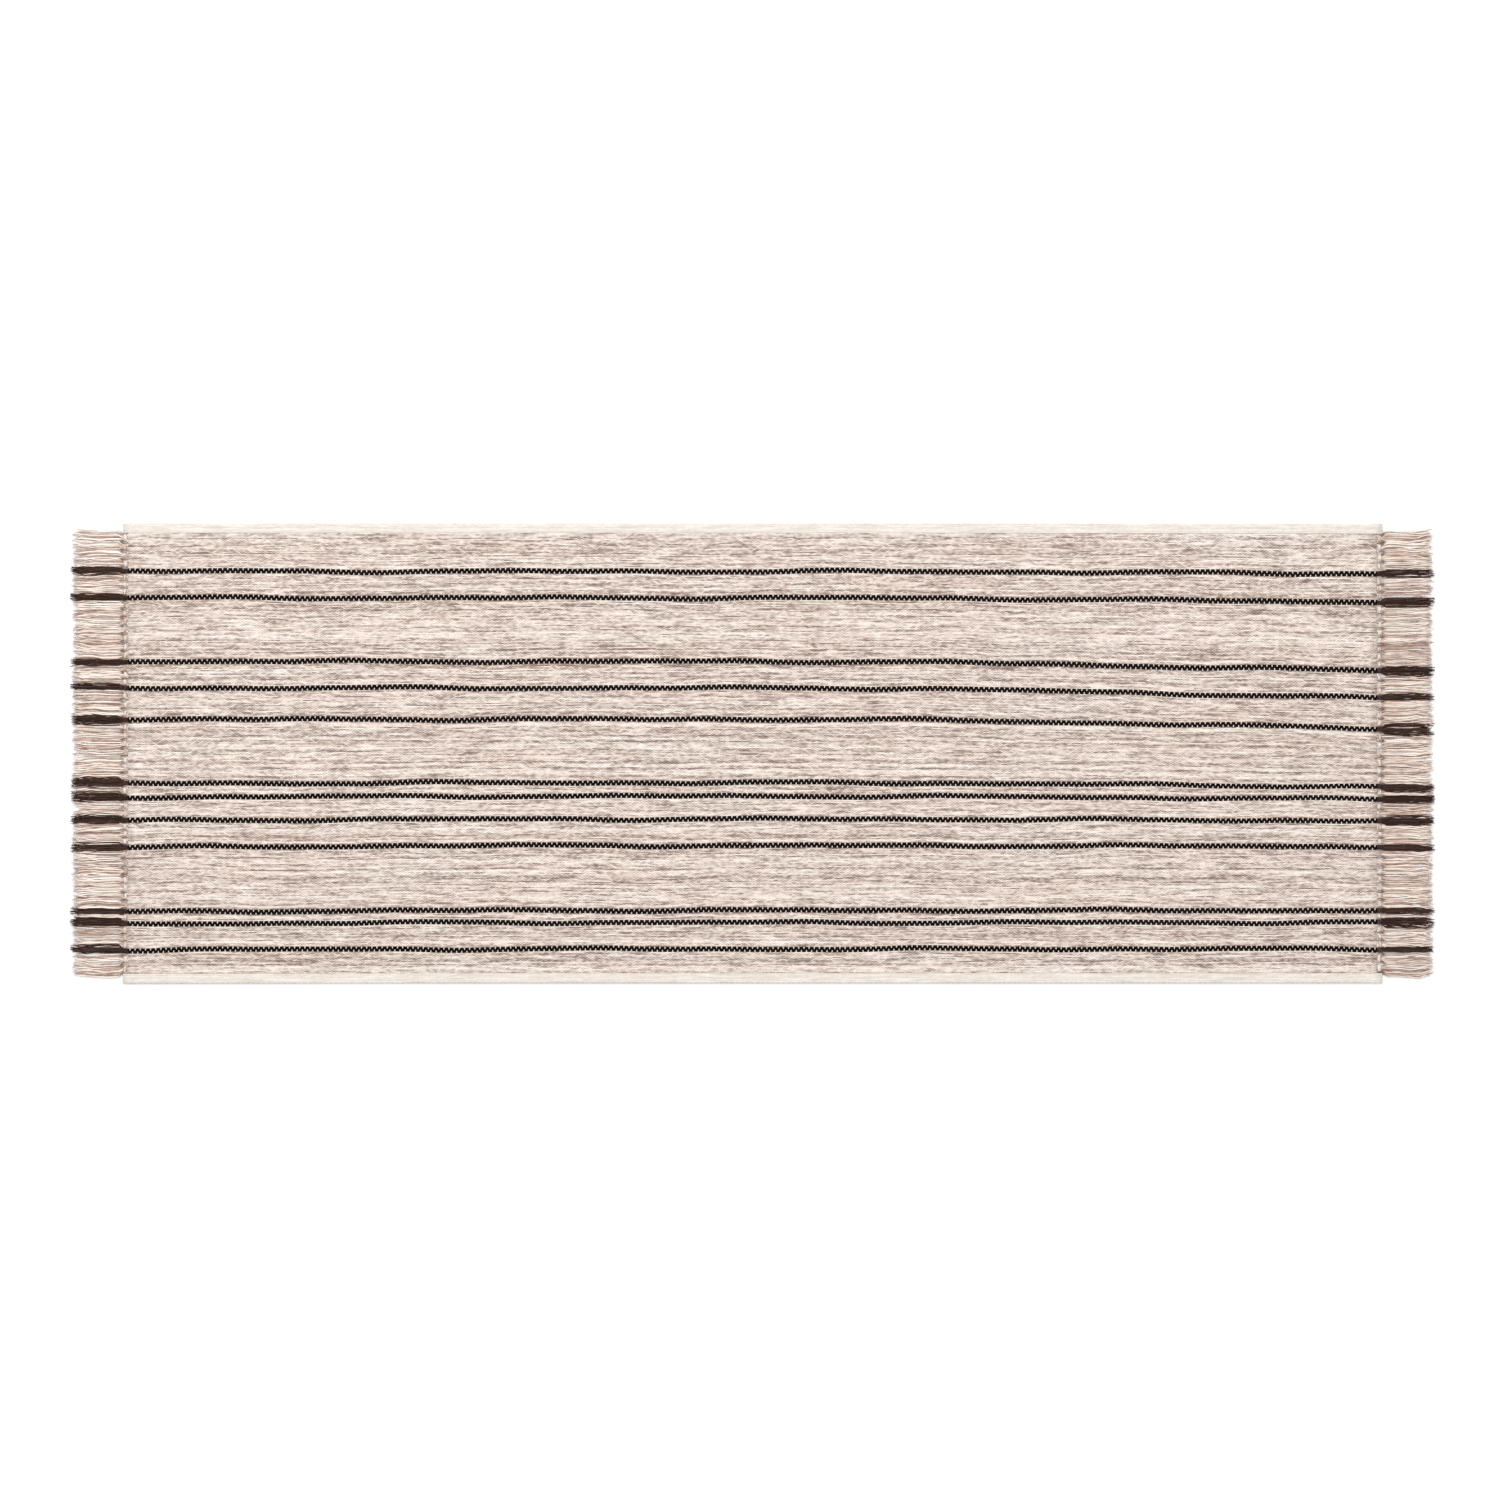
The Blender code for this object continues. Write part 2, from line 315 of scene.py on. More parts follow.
@dataclass(frozen=True)
class YarnFinish:
    """Cotton yarn, spun and plied: matt, a little fuzzy, with soft streaks of dye along each thread."""

    name: str
    shades: tuple[tuple[float, str], ...]  # (place from 0 to 1, sRGB hex), from dark to light
    streak: float = 45 * MM  # length of a patch of dye along the thread
    streak_detail: float = 3.0
    streak_roughness: float = 0.62
    thread_change: float = 0.12  # how far threads differ from each other
    blush: str = "FDF4F1"  # the tint that drifts over the cloth in soft patches
    blush_amount: float = 0.0
    blush_length: float = 260 * MM
    blush_threads: float = 9.0  # how many threads wide a patch of it is
    float_length: float = 0.0  # two picks, where the yarn is woven: it goes under the weft once in them
    float_shade: float = 0.0  # painted shade: how much darker the yarn is painted in the dips where it goes under
    pale_float: float = 0.3  # the share of that painted shade on pale patches of dye
    float_dip: float = 0.30 * MM
    speckle: float = 0.0  # how far one float's shade strays from the next one's
    twist: float = 2.2 * MM  # one turn of the ply along the yarn; drawn coarser than the real 1.2 mm
    twist_height: float = 0.12 * MM
    # painted shade: how much darker the yarn is painted in the grooves between its plies
    twist_shade: float = 0.10
    hollow: str = "72503C"  # painted shade: the brown that a yarn's colour is mixed towards where it lies deep between others
    relief: float = 0.6
    roughness: float = 0.92
    gloss: float = 0.4
    sheen: float = 0.25

    def material(self) -> bpy.types.Material:
        """Builds the finish as nodes on the attributes `along`, `thread`, `around` and `hollow`, the
        share of painted shade.

        Returns:
            The material.
        """
        material = bpy.data.materials.new(self.name)
        material.use_nodes = True
        tree = material.node_tree
        tree.nodes.clear()
        along = self._mark(tree, "along")
        thread = self._maths(tree, "FLOOR", self._mark(tree, "thread"))
        picked = self._maths(tree, "DIVIDE", along, self.float_length or 1.0)
        floats = self._maths(tree, "MULTIPLY_ADD", thread, 0.5, picked)
        streaks = self._streaks(tree, along, thread, floats)
        colour = self._blush(tree, self._shades(tree, streaks), along, thread)
        height, dark = self._relief(tree, along, floats, streaks)
        # painted shade: the colour is mixed towards the hollow brown where the yarn lies deep between
        # others
        hollow_shaded = self._mix(tree, self._mark(tree, "hollow"), colour, linear(self.hollow), "MIX")
        # painted shade: the grey from the relief darkens the dips of the weave and the grooves of the
        # plies
        shaded = self._mix(tree, 1.0, hollow_shaded, dark, "MULTIPLY")
        bump = {"Height": height, "Strength": self.relief, "Distance": 1.0}
        surface = {
            "Base Color": shaded,
            "Normal": add_node(tree, "ShaderNodeBump", bump).outputs[0],
            "Roughness": self.roughness,
            "Specular IOR Level": self.gloss,
            "Sheen Weight": self.sheen,
            "Sheen Roughness": 0.5,
        }
        shader = add_node(tree, "ShaderNodeBsdfPrincipled", surface)
        add_node(tree, "ShaderNodeOutputMaterial", {"Surface": shader.outputs[0]})
        return material

    @staticmethod
    def _mark(tree: bpy.types.NodeTree, name: str) -> bpy.types.NodeSocket:
        """Reads one of the yarn's point attributes."""
        return add_node(tree, "ShaderNodeAttribute", attribute_name=name).outputs["Fac"]

    @staticmethod
    def _maths(tree: bpy.types.NodeTree, operation: str, *values: object) -> bpy.types.NodeSocket:
        """Works out one sum of sockets and numbers."""
        return add_node(tree, "ShaderNodeMath", dict(enumerate(values)), operation=operation).outputs[0]

    @staticmethod
    def _mix(
        tree: bpy.types.NodeTree, share: object, first: object, second: object, how: str
    ) -> bpy.types.NodeSocket:
        """Mixes two colours, by a share of the second one."""
        inputs = {0: share, 6: first, 7: second}
        return add_node(tree, "ShaderNodeMix", inputs, data_type="RGBA", blend_type=how).outputs[2]

    def _streaks(
        self,
        tree: bpy.types.NodeTree,
        along: bpy.types.NodeSocket,
        thread: bpy.types.NodeSocket,
        floats: bpy.types.NodeSocket,
    ) -> bpy.types.NodeSocket:
        """Draws the dye: noise along each thread, plus one shift for each thread and each float.

        Args:
            tree: the finish's node tree.
            along: metres along the thread.
            thread: the thread's number.
            floats: how often the thread has gone under the weft.

        Returns:
            The place in the shades, from 0 to 1.
        """
        length = self._maths(tree, "DIVIDE", along, self.streak)
        row = self._maths(tree, "MULTIPLY", thread, THREAD_STEP)
        place = add_node(tree, "ShaderNodeCombineXYZ", {0: length, 1: row})
        grain = {
            "Vector": place.outputs[0],
            "Scale": 1.0,
            "Detail": self.streak_detail,
            "Roughness": self.streak_roughness,
        }
        noise = add_node(tree, "ShaderNodeTexNoise", grain)
        own = add_node(tree, "ShaderNodeTexWhiteNoise", {"W": thread}, noise_dimensions="1D")
        change = self.thread_change
        shift = self._maths(tree, "MULTIPLY_ADD", own.outputs["Value"], change, -change / 2)
        streaks = self._maths(tree, "ADD", noise.outputs[0], shift)
        if self.speckle == 0.0:
            return streaks
        cell = add_node(tree, "ShaderNodeCombineXYZ", {0: self._maths(tree, "FLOOR", floats), 1: thread})
        place = {"Vector": cell.outputs[0]}
        speck = add_node(tree, "ShaderNodeTexWhiteNoise", place, noise_dimensions="2D")
        jump = self._maths(
            tree, "MULTIPLY_ADD", speck.outputs["Value"], self.speckle, -self.speckle / 2
        )
        return self._maths(tree, "ADD", streaks, jump)

    def _shades(self, tree: bpy.types.NodeTree, streaks: bpy.types.NodeSocket) -> bpy.types.NodeSocket:
        """Turns the streaks into the yarn's shades, from dark to light.

        Args:
            tree: the finish's node tree.
            streaks: the place in the shades, from 0 to 1.

        Returns:
            The colour.
        """
        ramp = add_node(tree, "ShaderNodeValToRGB", {0: streaks})
        stops = ramp.color_ramp.elements
        for number, (place, hex_colour) in enumerate(self.shades):
            stop = stops[number] if number < len(stops) else stops.new(place)
            stop.position = place
            stop.color = linear(hex_colour)
        return ramp.outputs[0]

    def _blush(
        self,
        tree: bpy.types.NodeTree,
        colour: bpy.types.NodeSocket,
        along: bpy.types.NodeSocket,
        thread: bpy.types.NodeSocket,
    ) -> bpy.types.NodeSocket:
        """Lets a tint drift over many threads at once, as where a new dye lot starts.

        Args:
            tree: the finish's node tree.
            colour: the yarn's shade.
            along: metres along the thread.
            thread: the thread's number.

        Returns:
            The shade, multiplied by the tint where soft noise is high.
        """
        if self.blush_amount == 0.0:
            return colour
        length = self._maths(tree, "DIVIDE", along, self.blush_length)
        row = self._maths(tree, "DIVIDE", thread, self.blush_threads)
        place = add_node(tree, "ShaderNodeCombineXYZ", {0: length, 1: row})
        grain = {"Vector": place.outputs[0], "Scale": 1.0, "Detail": 2.0}
        noise = add_node(tree, "ShaderNodeTexNoise", grain)
        low, high = NOISE_REACH
        reach = {0: noise.outputs[0], 1: low, 2: high, 4: self.blush_amount}
        spread = add_node(tree, "ShaderNodeMapRange", reach)
        return self._mix(tree, spread.outputs[0], colour, linear(self.blush), "MULTIPLY")

    def _relief(
        self,
        tree: bpy.types.NodeTree,
        along: bpy.types.NodeSocket,
        floats: bpy.types.NodeSocket,
        streaks: bpy.types.NodeSocket,
    ) -> tuple[bpy.types.NodeSocket, bpy.types.NodeSocket]:
        """Gives the yarn's fine relief, and the painted shade in its dips and grooves.

        Woven yarn rises and dips once every two picks, a half turn apart from thread to thread: a
        cosine of the floats. Painted shade darkens its dips, more on dark patches of dye. Loose yarn
        shows the slanting plies instead, with painted shade in their grooves: a sine of the place along
        the yarn plus the place around it.

        Args:
            tree: the finish's node tree.
            along: metres along the thread.
            floats: how often the thread has gone under the weft.
            streaks: the place in the shades.

        Returns:
            The height in metres, and the grey of painted shade that darkens the yarn in its dips and
            grooves.
        """
        if self.float_length:
            turn = self._maths(tree, "MULTIPLY", floats, TAU)
            wave = self._maths(tree, "MULTIPLY_ADD", self._maths(tree, "COSINE", turn), 0.5, 0.5)
            low, high = NOISE_REACH
            shade = self.float_shade
            reach = {0: streaks, 1: low, 2: high, 3: shade, 4: shade * self.pale_float}
            depth = add_node(tree, "ShaderNodeMapRange", reach)
            shade_loss = self._maths(tree, "MULTIPLY", wave, depth.outputs[0])
            rise = self._maths(tree, "MULTIPLY", wave, -self.float_dip)
        else:
            turn = self._maths(tree, "MULTIPLY", along, TAU / self.twist)
            turn = self._maths(tree, "MULTIPLY_ADD", self._mark(tree, "around"), TAU, turn)
            wave = self._maths(tree, "MULTIPLY_ADD", self._maths(tree, "SINE", turn), 0.5, 0.5)
            shade_loss = self._maths(tree, "MULTIPLY", wave, self.twist_shade)
            rise = self._maths(tree, "MULTIPLY", wave, -self.twist_height)
        keep = self._maths(tree, "SUBTRACT", 1.0, shade_loss)
        grey = add_node(tree, "ShaderNodeCombineColor", {0: keep, 1: keep, 2: keep})
        return rise, grey.outputs[0]


@dataclass(frozen=True)
class PaperFloor:
    """A sweep of matt white paper, with a trace of fibre in its surface."""

    name: str = "white_paper_floor"
    colour: str = "FDFDFD"
    fibre: float = 6 * MM
    mottle: float = 0.99  # the brightness of its darker fibres, as a share of the lighter ones'
    roughness: float = 0.95
    gloss: float = 0.1

    def material(self) -> bpy.types.Material:
        """Builds the paper: one white, mottled by a hundredth.

        Returns:
            The material.
        """
        material = bpy.data.materials.new(self.name)
        material.use_nodes = True
        tree = material.node_tree
        shader = tree.nodes["Principled BSDF"]
        place = add_node(tree, "ShaderNodeTexCoord")
        scale = {"Vector": place.outputs["Object"], "Scale": 1.0 / self.fibre}
        noise = add_node(tree, "ShaderNodeTexNoise", scale)
        white = linear(self.colour)
        shade = (*(self.mottle * channel for channel in white[:3]), 1.0)
        mix = add_node(tree, "ShaderNodeMix", {0: noise.outputs[0], 6: white, 7: shade}, data_type="RGBA")
        tree.links.new(mix.outputs[2], shader.inputs["Base Color"])
        shader.inputs["Roughness"].default_value = self.roughness
        shader.inputs["Specular IOR Level"].default_value = self.gloss
        return material


# Space-dyed single cotton, two-plied: cream, beige and taupe run into each other along every thread.
GROUND_YARN = YarnFinish(
    "space_dyed_cotton_warp",
    ((0.27, "95817A"), (0.40, "C6B5AA"), (0.53, "E6D9CF"), (0.72, "F8F0E7")),
    streak=44 * MM,
    thread_change=0.18,
    blush_amount=0.7,
    float_length=4.75 * MM,
    # painted shade in the dips where the warp goes under the weft
    float_shade=0.50,
    speckle=0.20,
)
# Heavy cotton in one deep brown, painted near-black here as painted shade of the tightly beaten cloth.
STRIPE_YARN = YarnFinish(
    "near_black_cotton_cord",
    ((0.3, "0C0605"), (0.5, "140C0A"), (0.7, "201614")),
    streak=30 * MM,
    gloss=0.1,
    sheen=0.0,
)
# Undyed cotton, washed: cream all along, with only the weave and the painted shade in its dips to mark
# it.
SELVEDGE_YARN = YarnFinish(
    "undyed_cotton_warp",
    ((0.3, "DAD1C7"), (0.5, "E5DDD4"), (0.7, "F0E9E2")),
    float_length=4.75 * MM,
    float_shade=0.16,
    speckle=0.15,
)
# Undyed cotton, one thick soft ply: painted darker than the selvedge, as painted shade where it lies low
# between the dark cords.
WEFT_YARN = YarnFinish(
    "undyed_cotton_weft",
    ((0.3, "D6C7BA"), (0.5, "E4D6CA"), (0.7, "F0E6DC")),
    streak=60 * MM,
    sheen=0.15,
)
# The ground yarn where it hangs loose: untwisting, so softer and rosier than in the cloth.
FRINGE_YARN = YarnFinish(
    "loose_space_dyed_cotton",
    ((0.29, "A88B7C"), (0.41, "D6C0B2"), (0.51, "F0E2D5"), (0.65, "FFF8F0")),
    streak=38 * MM,
    thread_change=0.32,
    blush_amount=0.9,
    blush_length=60 * MM,
)
# The fringe's yarn pulled tight: its plies stand out more, with deeper painted shade in their grooves,
# and the dye changes faster round the knot.
KNOT_YARN = YarnFinish(
    "knotted_space_dyed_cotton",
    ((0.30, "B69B8D"), (0.45, "DAC5B7"), (0.62, "F5E9DE")),
    streak=12 * MM,
    thread_change=0.3,
    twist_shade=0.25,
)
# The stripe's yarn where it hangs loose: its fuzz catches the light, so it looks aubergine brown.
TASSEL_YARN = YarnFinish(
    "loose_dark_brown_cotton",
    ((0.3, "2C1B16"), (0.5, "3D2922"), (0.7, "584139")),
    streak=25 * MM,
    thread_change=0.25,
    # painted shade in the grooves between its plies
    twist_shade=0.15,
    gloss=0.15,
    sheen=0.03,
)


@dataclass(frozen=True)
class Yarns:
    """The rug's finishes, made once and shared by its pieces."""

    ground: bpy.types.Material = field(default_factory=GROUND_YARN.material)
    stripe: bpy.types.Material = field(default_factory=STRIPE_YARN.material)
    selvedge: bpy.types.Material = field(default_factory=SELVEDGE_YARN.material)
    weft: bpy.types.Material = field(default_factory=WEFT_YARN.material)
    fringe: bpy.types.Material = field(default_factory=FRINGE_YARN.material)
    knot: bpy.types.Material = field(default_factory=KNOT_YARN.material)
    tassel: bpy.types.Material = field(default_factory=TASSEL_YARN.material)


# ------------------------------------------------------------------------ the lay of the warps


@dataclass(frozen=True)
class Strip:
    """One group of warps as the frame holds it: a strip with a bend in plan, between two heights."""

    node: str
    kind: Kind
    stations: np.ndarray  # x of its start, its bend and its end
    lower: np.ndarray  # y of its lower edge there
    upper: np.ndarray
    bottom: float
    top: float

    @classmethod
    def from_frame(cls, node: str) -> Strip:
        """Reads the strip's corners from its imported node.

        Args:
            node: the node's name.

        Returns:
            The strip, with one edge point for each x at which the node has corners.
        """
        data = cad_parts[node].data
        points = np.empty(len(data.vertices) * 3, np.float32)
        data.vertices.foreach_get("co", points)
        points = points.reshape(-1, 3).astype(float)
        places = np.round(points[:, 0], 4)
        stations = np.unique(places)
        lower = np.array([points[places == x, 1].min() for x in stations])
        upper = np.array([points[places == x, 1].max() for x in stations])
        kind = next(k for k in Kind if node.startswith(k.value))
        return cls(node, kind, stations, lower, upper, points[:, 2].min(), points[:, 2].max())

    @property
    def middle(self) -> float:
        """The y of its middle at its start."""
        return float(self.lower[0] + self.upper[0]) / 2


@dataclass
class Lay:
    """How the warps lie: along the frame's edges, eased at their bend, and wandering a little."""

    bend_ease: float = 45 * MM
    wander_lengths: tuple[float, ...] = (430 * MM, 240 * MM, 135 * MM)
    wander_sizes: tuple[float, ...] = (0.9 * MM, 0.6 * MM, 0.35 * MM)
    lean_start: float = 0.35  # where the warps start to lean towards end a, as a share of its x
    lean_power: float = 1.5
    lean_size: float = 2.6 * MM  # how far those near one edge have leaned out there
    lean_middle: float = -150 * MM
    lean_spread: float = 130 * MM
    past_frame: float = 3.0 * MM  # how much nearer the knots the weave comes than the frame's cloth
    strips: list[Strip] = field(init=False)  # from +Y to -Y

    def __post_init__(self) -> None:
        """Reads every warp group of the frame."""
        kinds = tuple(kind.value for kind in Kind)
        nodes = [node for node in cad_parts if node.startswith(kinds)]
        self.strips = sorted((Strip.from_frame(node) for node in nodes), key=lambda s: -s.middle)

    @property
    def half_cloth(self) -> float:
        """Half the length of the woven ground, from which the knots take over."""
        ground = next(strip for strip in self.strips if strip.kind is Kind.GROUND)
        return self.run(ground)[1]

    def run(self, strip: Strip) -> tuple[float, float]:
        """Gives the x at which a strip's weave starts and ends.

        Args:
            strip: the group of warps.

        Returns:
            Both, a little past the frame's cloth unless it is a selvedge.
        """
        past = 0.0 if strip.kind is Kind.SELVEDGE else self.past_frame
        return float(strip.stations[0]) - past, float(strip.stations[-1]) + past

    def _eased(self, strip: Strip, edge: np.ndarray, x: np.ndarray) -> np.ndarray:
        """Follows an edge of the frame with its corner rounded.

        The slant after the bend is multiplied by a softened ramp, the ease times the logarithm of
        one plus the exponential of the distance past the bend over the ease. The lean towards end a
        is largest at one y, and falls off from it on a bell curve.

        Args:
            strip: the group of warps.
            edge: y of one of its edges at its start, bend and end.
            x: stations along the rug.

        Returns:
            y of the edge at each station.
        """
        start, end = strip.stations[0], strip.stations[-1]
        bend = strip.stations[len(strip.stations) // 2]
        slant = (edge[-1] - edge[0]) / (end - bend)
        ramp = self.bend_ease * np.log1p(np.exp((x - bend) / self.bend_ease))
        past = (x / start - self.lean_start) / (1.0 - self.lean_start)
        lean = np.clip(past, 0.0, 1.0) ** self.lean_power
        bell = math.exp(-(((edge[0] - self.lean_middle) / self.lean_spread) ** 2))
        return edge[0] + slant * ramp - self.lean_size * lean * bell

    def _wander(self, owner: str, x: np.ndarray) -> np.ndarray:
        """Adds up sines along the rug, with phases of the owner's own.

        Args:
            owner: the stripe's name.
            x: stations along the rug.

        Returns:
            How far the stripe strays at each station.
        """
        phases = seeded("wander", owner).uniform(0.0, TAU, len(self.wander_lengths))
        total = np.zeros_like(x)
        for length, size, phase in zip(self.wander_lengths, self.wander_sizes, phases):
            total += size * np.sin(TAU * x / length + phase)
        return total

    def edges(self, strip: Strip, x: np.ndarray) -> tuple[np.ndarray, np.ndarray]:
        """Gives a strip's two edges along the rug.

        A stripe wanders as a whole. A ground band is stretched between the stripes beside it, so it
        borrows their wander, and the selvedges stay straight.

        Args:
            strip: the group of warps.
            x: stations along the rug.

        Returns:
            y of the lower and the upper edge at each station.
        """
        place = self.strips.index(strip)
        lower = self._eased(strip, strip.lower, x)
        upper = self._eased(strip, strip.upper, x)
        if strip.kind is Kind.STRIPE:
            sway = self._wander(strip.node, x)
            return lower + sway, upper + sway
        if strip.kind is Kind.GROUND:
            above, below = self.strips[place - 1], self.strips[place + 1]
            if above.kind is Kind.STRIPE:
                upper = upper + self._wander(above.node, x)
            if below.kind is Kind.STRIPE:
                lower = lower + self._wander(below.node, x)
        return lower, upper


# ------------------------------------------------------------------------ woven cloth


@dataclass
class RibbedCloth:
    """A band of pale warps: one rib for each end on its face, and flatter ribs underneath."""

    lay: Lay
    end_pitch: float = 1.58 * MM
    rib_depth: float = 0.50 * MM
    under_depth: float = 0.35 * MM
    stations: int = 150
    sway: float = 0.10 * MM  # how far an end strays from its line
    swell: float = 0.14 * MM  # how far its height changes
    stray_lengths: tuple[float, ...] = (23 * MM, 61 * MM, 140 * MM)
    stray_change: tuple[float, float] = (0.8, 1.25)  # how an end stretches these lengths
    top_shares: tuple[float, ...] = (0.0, 0.2, 0.5, 0.8)
    top_heights: tuple[float, ...] = (0.0, 0.72, 1.0, 0.72)
    under_shares: tuple[float, ...] = (1.0, 0.5)
    under_heights: tuple[float, ...] = (0.0, 1.0)

    def build(
        self, strip: Strip, name: str, material: bpy.types.Material, first: int
    ) -> tuple[bpy.types.Object, int]:
        """Makes the band's mesh.

        One ring goes over the face from the lower edge to the upper and back underneath. On the
        face, rib r of n has its corners at (r + share) / n of the width, at the cloth's top less the
        rib's depth times one less the corner's height.

        Args:
            strip: the group of warps.
            name: the piece's name.
            material: its finish.
            first: the thread number of its first end.

        Returns:
            The piece, and the number of its ends.
        """
        x = np.linspace(*self.lay.run(strip), self.stations)
        lower, upper = self.lay.edges(strip, x)
        ends = max(1, round((strip.upper[0] - strip.lower[0]) / self.end_pitch))
        rib = np.arange(ends)
        over = (rib[:, None] + np.array(self.top_shares)).ravel()
        over = np.append(over, ends)
        under = (rib[::-1, None] + np.array(self.under_shares)).ravel()
        under = np.append(under, 0.0)
        rng = seeded(name)
        stray = self._soft_noise(rng, ends + 1, x) * self.sway
        lift = self._soft_noise(rng, ends + 1, x) * self.swell
        width = (upper - lower)[:, None]
        which = np.minimum(over.astype(int), ends - 1)
        inside = np.append(np.tile(np.array(self.top_shares) > 0.0, ends), False)
        over_y = lower[:, None] + width * over / ends + stray[which].T * inside
        crest = np.append(np.tile(self.top_heights, ends), 0.0)
        over_z = strip.top - self.rib_depth * (1.0 - crest) + (lift[which].T - self.swell) * inside
        under_y = lower[:, None] + width * under / ends
        hollow = np.append(np.tile(self.under_heights, ends), 0.0)
        under_z = np.broadcast_to(self.under_depth * (1.0 - hollow), under_y.shape)
        ring = np.empty((1, len(x), over_y.shape[1] + under_y.shape[1], 3))
        ring[0, :, :, 0] = x[:, None]
        ring[0, :, :, 1] = np.concatenate([over_y, under_y], axis=1)
        ring[0, :, :, 2] = np.concatenate([over_z, under_z], axis=1)
        shape = ring.shape[:3]
        marks = {
            "along": np.broadcast_to(x[None, :, None], shape),
            "thread": np.broadcast_to(first + np.concatenate([over, under]), shape),
            "around": np.zeros(shape),
        }
        return loft(name, ring, marks, material), ends

    def _soft_noise(self, rng: np.random.Generator, rows: int, x: np.ndarray) -> np.ndarray:
        """Gives each row a smooth wave along x from -1 to 1: the mean of three sines.

        Args:
            rng: the piece's random source.
            rows: the number of waves.
            x: stations along the rug.

        Returns:
            The waves, as (rows, stations).
        """
        total = np.zeros((rows, len(x)))
        for length in self.stray_lengths:
            phase = rng.uniform(0.0, TAU, (rows, 1))
            stretch = rng.uniform(*self.stray_change, (rows, 1))
            total += np.sin(TAU * x * stretch / length + phase)
        return total / len(self.stray_lengths)


@dataclass
class StripeCords:
    """Two heavy dark ends side by side, each over one pick and under the next, a half turn apart."""

    lay: Lay
    # The length in which a cord goes over and under once. It is drawn two fifths longer than the real
    # 4.75 mm, because the zigzag of the two cords is otherwise too fine to show.
    picks: float = 6.8 * MM
    steps: int = 8
    around: int = 5
    half_width: float = 2.20 * MM
    half_height: float = 0.95 * MM
    squareness: float = 1.9
    over: float = 0.32  # how much longer a cord stays on the face than under it
    end_gap: float = 0.33  # how far from a strip's ends its first and last turns stay, in turns

    def turns(self, strip: Strip, shift: float) -> np.ndarray:
        """Gives every x on a strip at which a cord has made a number of whole turns and a shift.

        Args:
            strip: the group of warps.
            shift: the share of a turn past the whole ones.

        Returns:
            x, from the strip's start to its end, each at least the end gap inside.
        """
        start, stop = (x / self.picks for x in self.lay.run(strip))
        turn = np.arange(math.floor(start), math.ceil(stop) + 1) + shift
        return turn[(turn > start + self.end_gap) & (turn < stop - self.end_gap)] * self.picks

    def phase(self, x: np.ndarray) -> np.ndarray:
        """The turn of the upper cord at x: whole turns where it is on the face."""
        return TAU * x / self.picks

    def build(self, strip: Strip, name: str, material: bpy.types.Material) -> bpy.types.Object:
        """Makes both cords of one stripe.

        A cord's height is the middle of the cloth plus a squared-off wave, the hyperbolic tangent of
        the cosine of its turn times the squareness, scaled to reach from the floor to the top.

        Args:
            strip: the stripe's group of warps.
            name: the piece's name.
            material: its finish.

        Returns:
            The piece.
        """
        start, stop = self.lay.run(strip)
        count = round((stop - start) / self.picks * self.steps) + 1
        x = np.linspace(start, stop, count)
        lower, upper = self.lay.edges(strip, x)
        quarter = (upper - lower) / 4
        middle = (upper + lower) / 2
        swing = (strip.top - 2 * self.half_height) / 2
        paths = np.empty((2, count, 3))
        paths[:, :, 0] = x
        for cord, sign in enumerate((-1.0, 1.0)):
            turn = self.phase(x) + math.pi * cord
            wave = np.tanh(self.squareness * (np.cos(turn) + self.over))
            paths[cord, :, 1] = middle + sign * quarter
            paths[cord, :, 2] = strip.top / 2 + swing * wave
        radii = np.broadcast_to([self.half_width, self.half_height], (2, count, 2))
        flat = paths.copy()
        flat[:, :, 2] = 0.0
        rings = tube_rings(flat, radii, self.around, UPWARDS)
        rings[:, :, :, 2] += paths[:, :, None, 2]
        threads = np.arange(2) + FirstThread.STRIPE + 2 * self.lay.strips.index(strip)
        marks = yarn_marks(np.broadcast_to(x, (2, count)), threads, self.around)
        return loft(name, rings, marks, material)


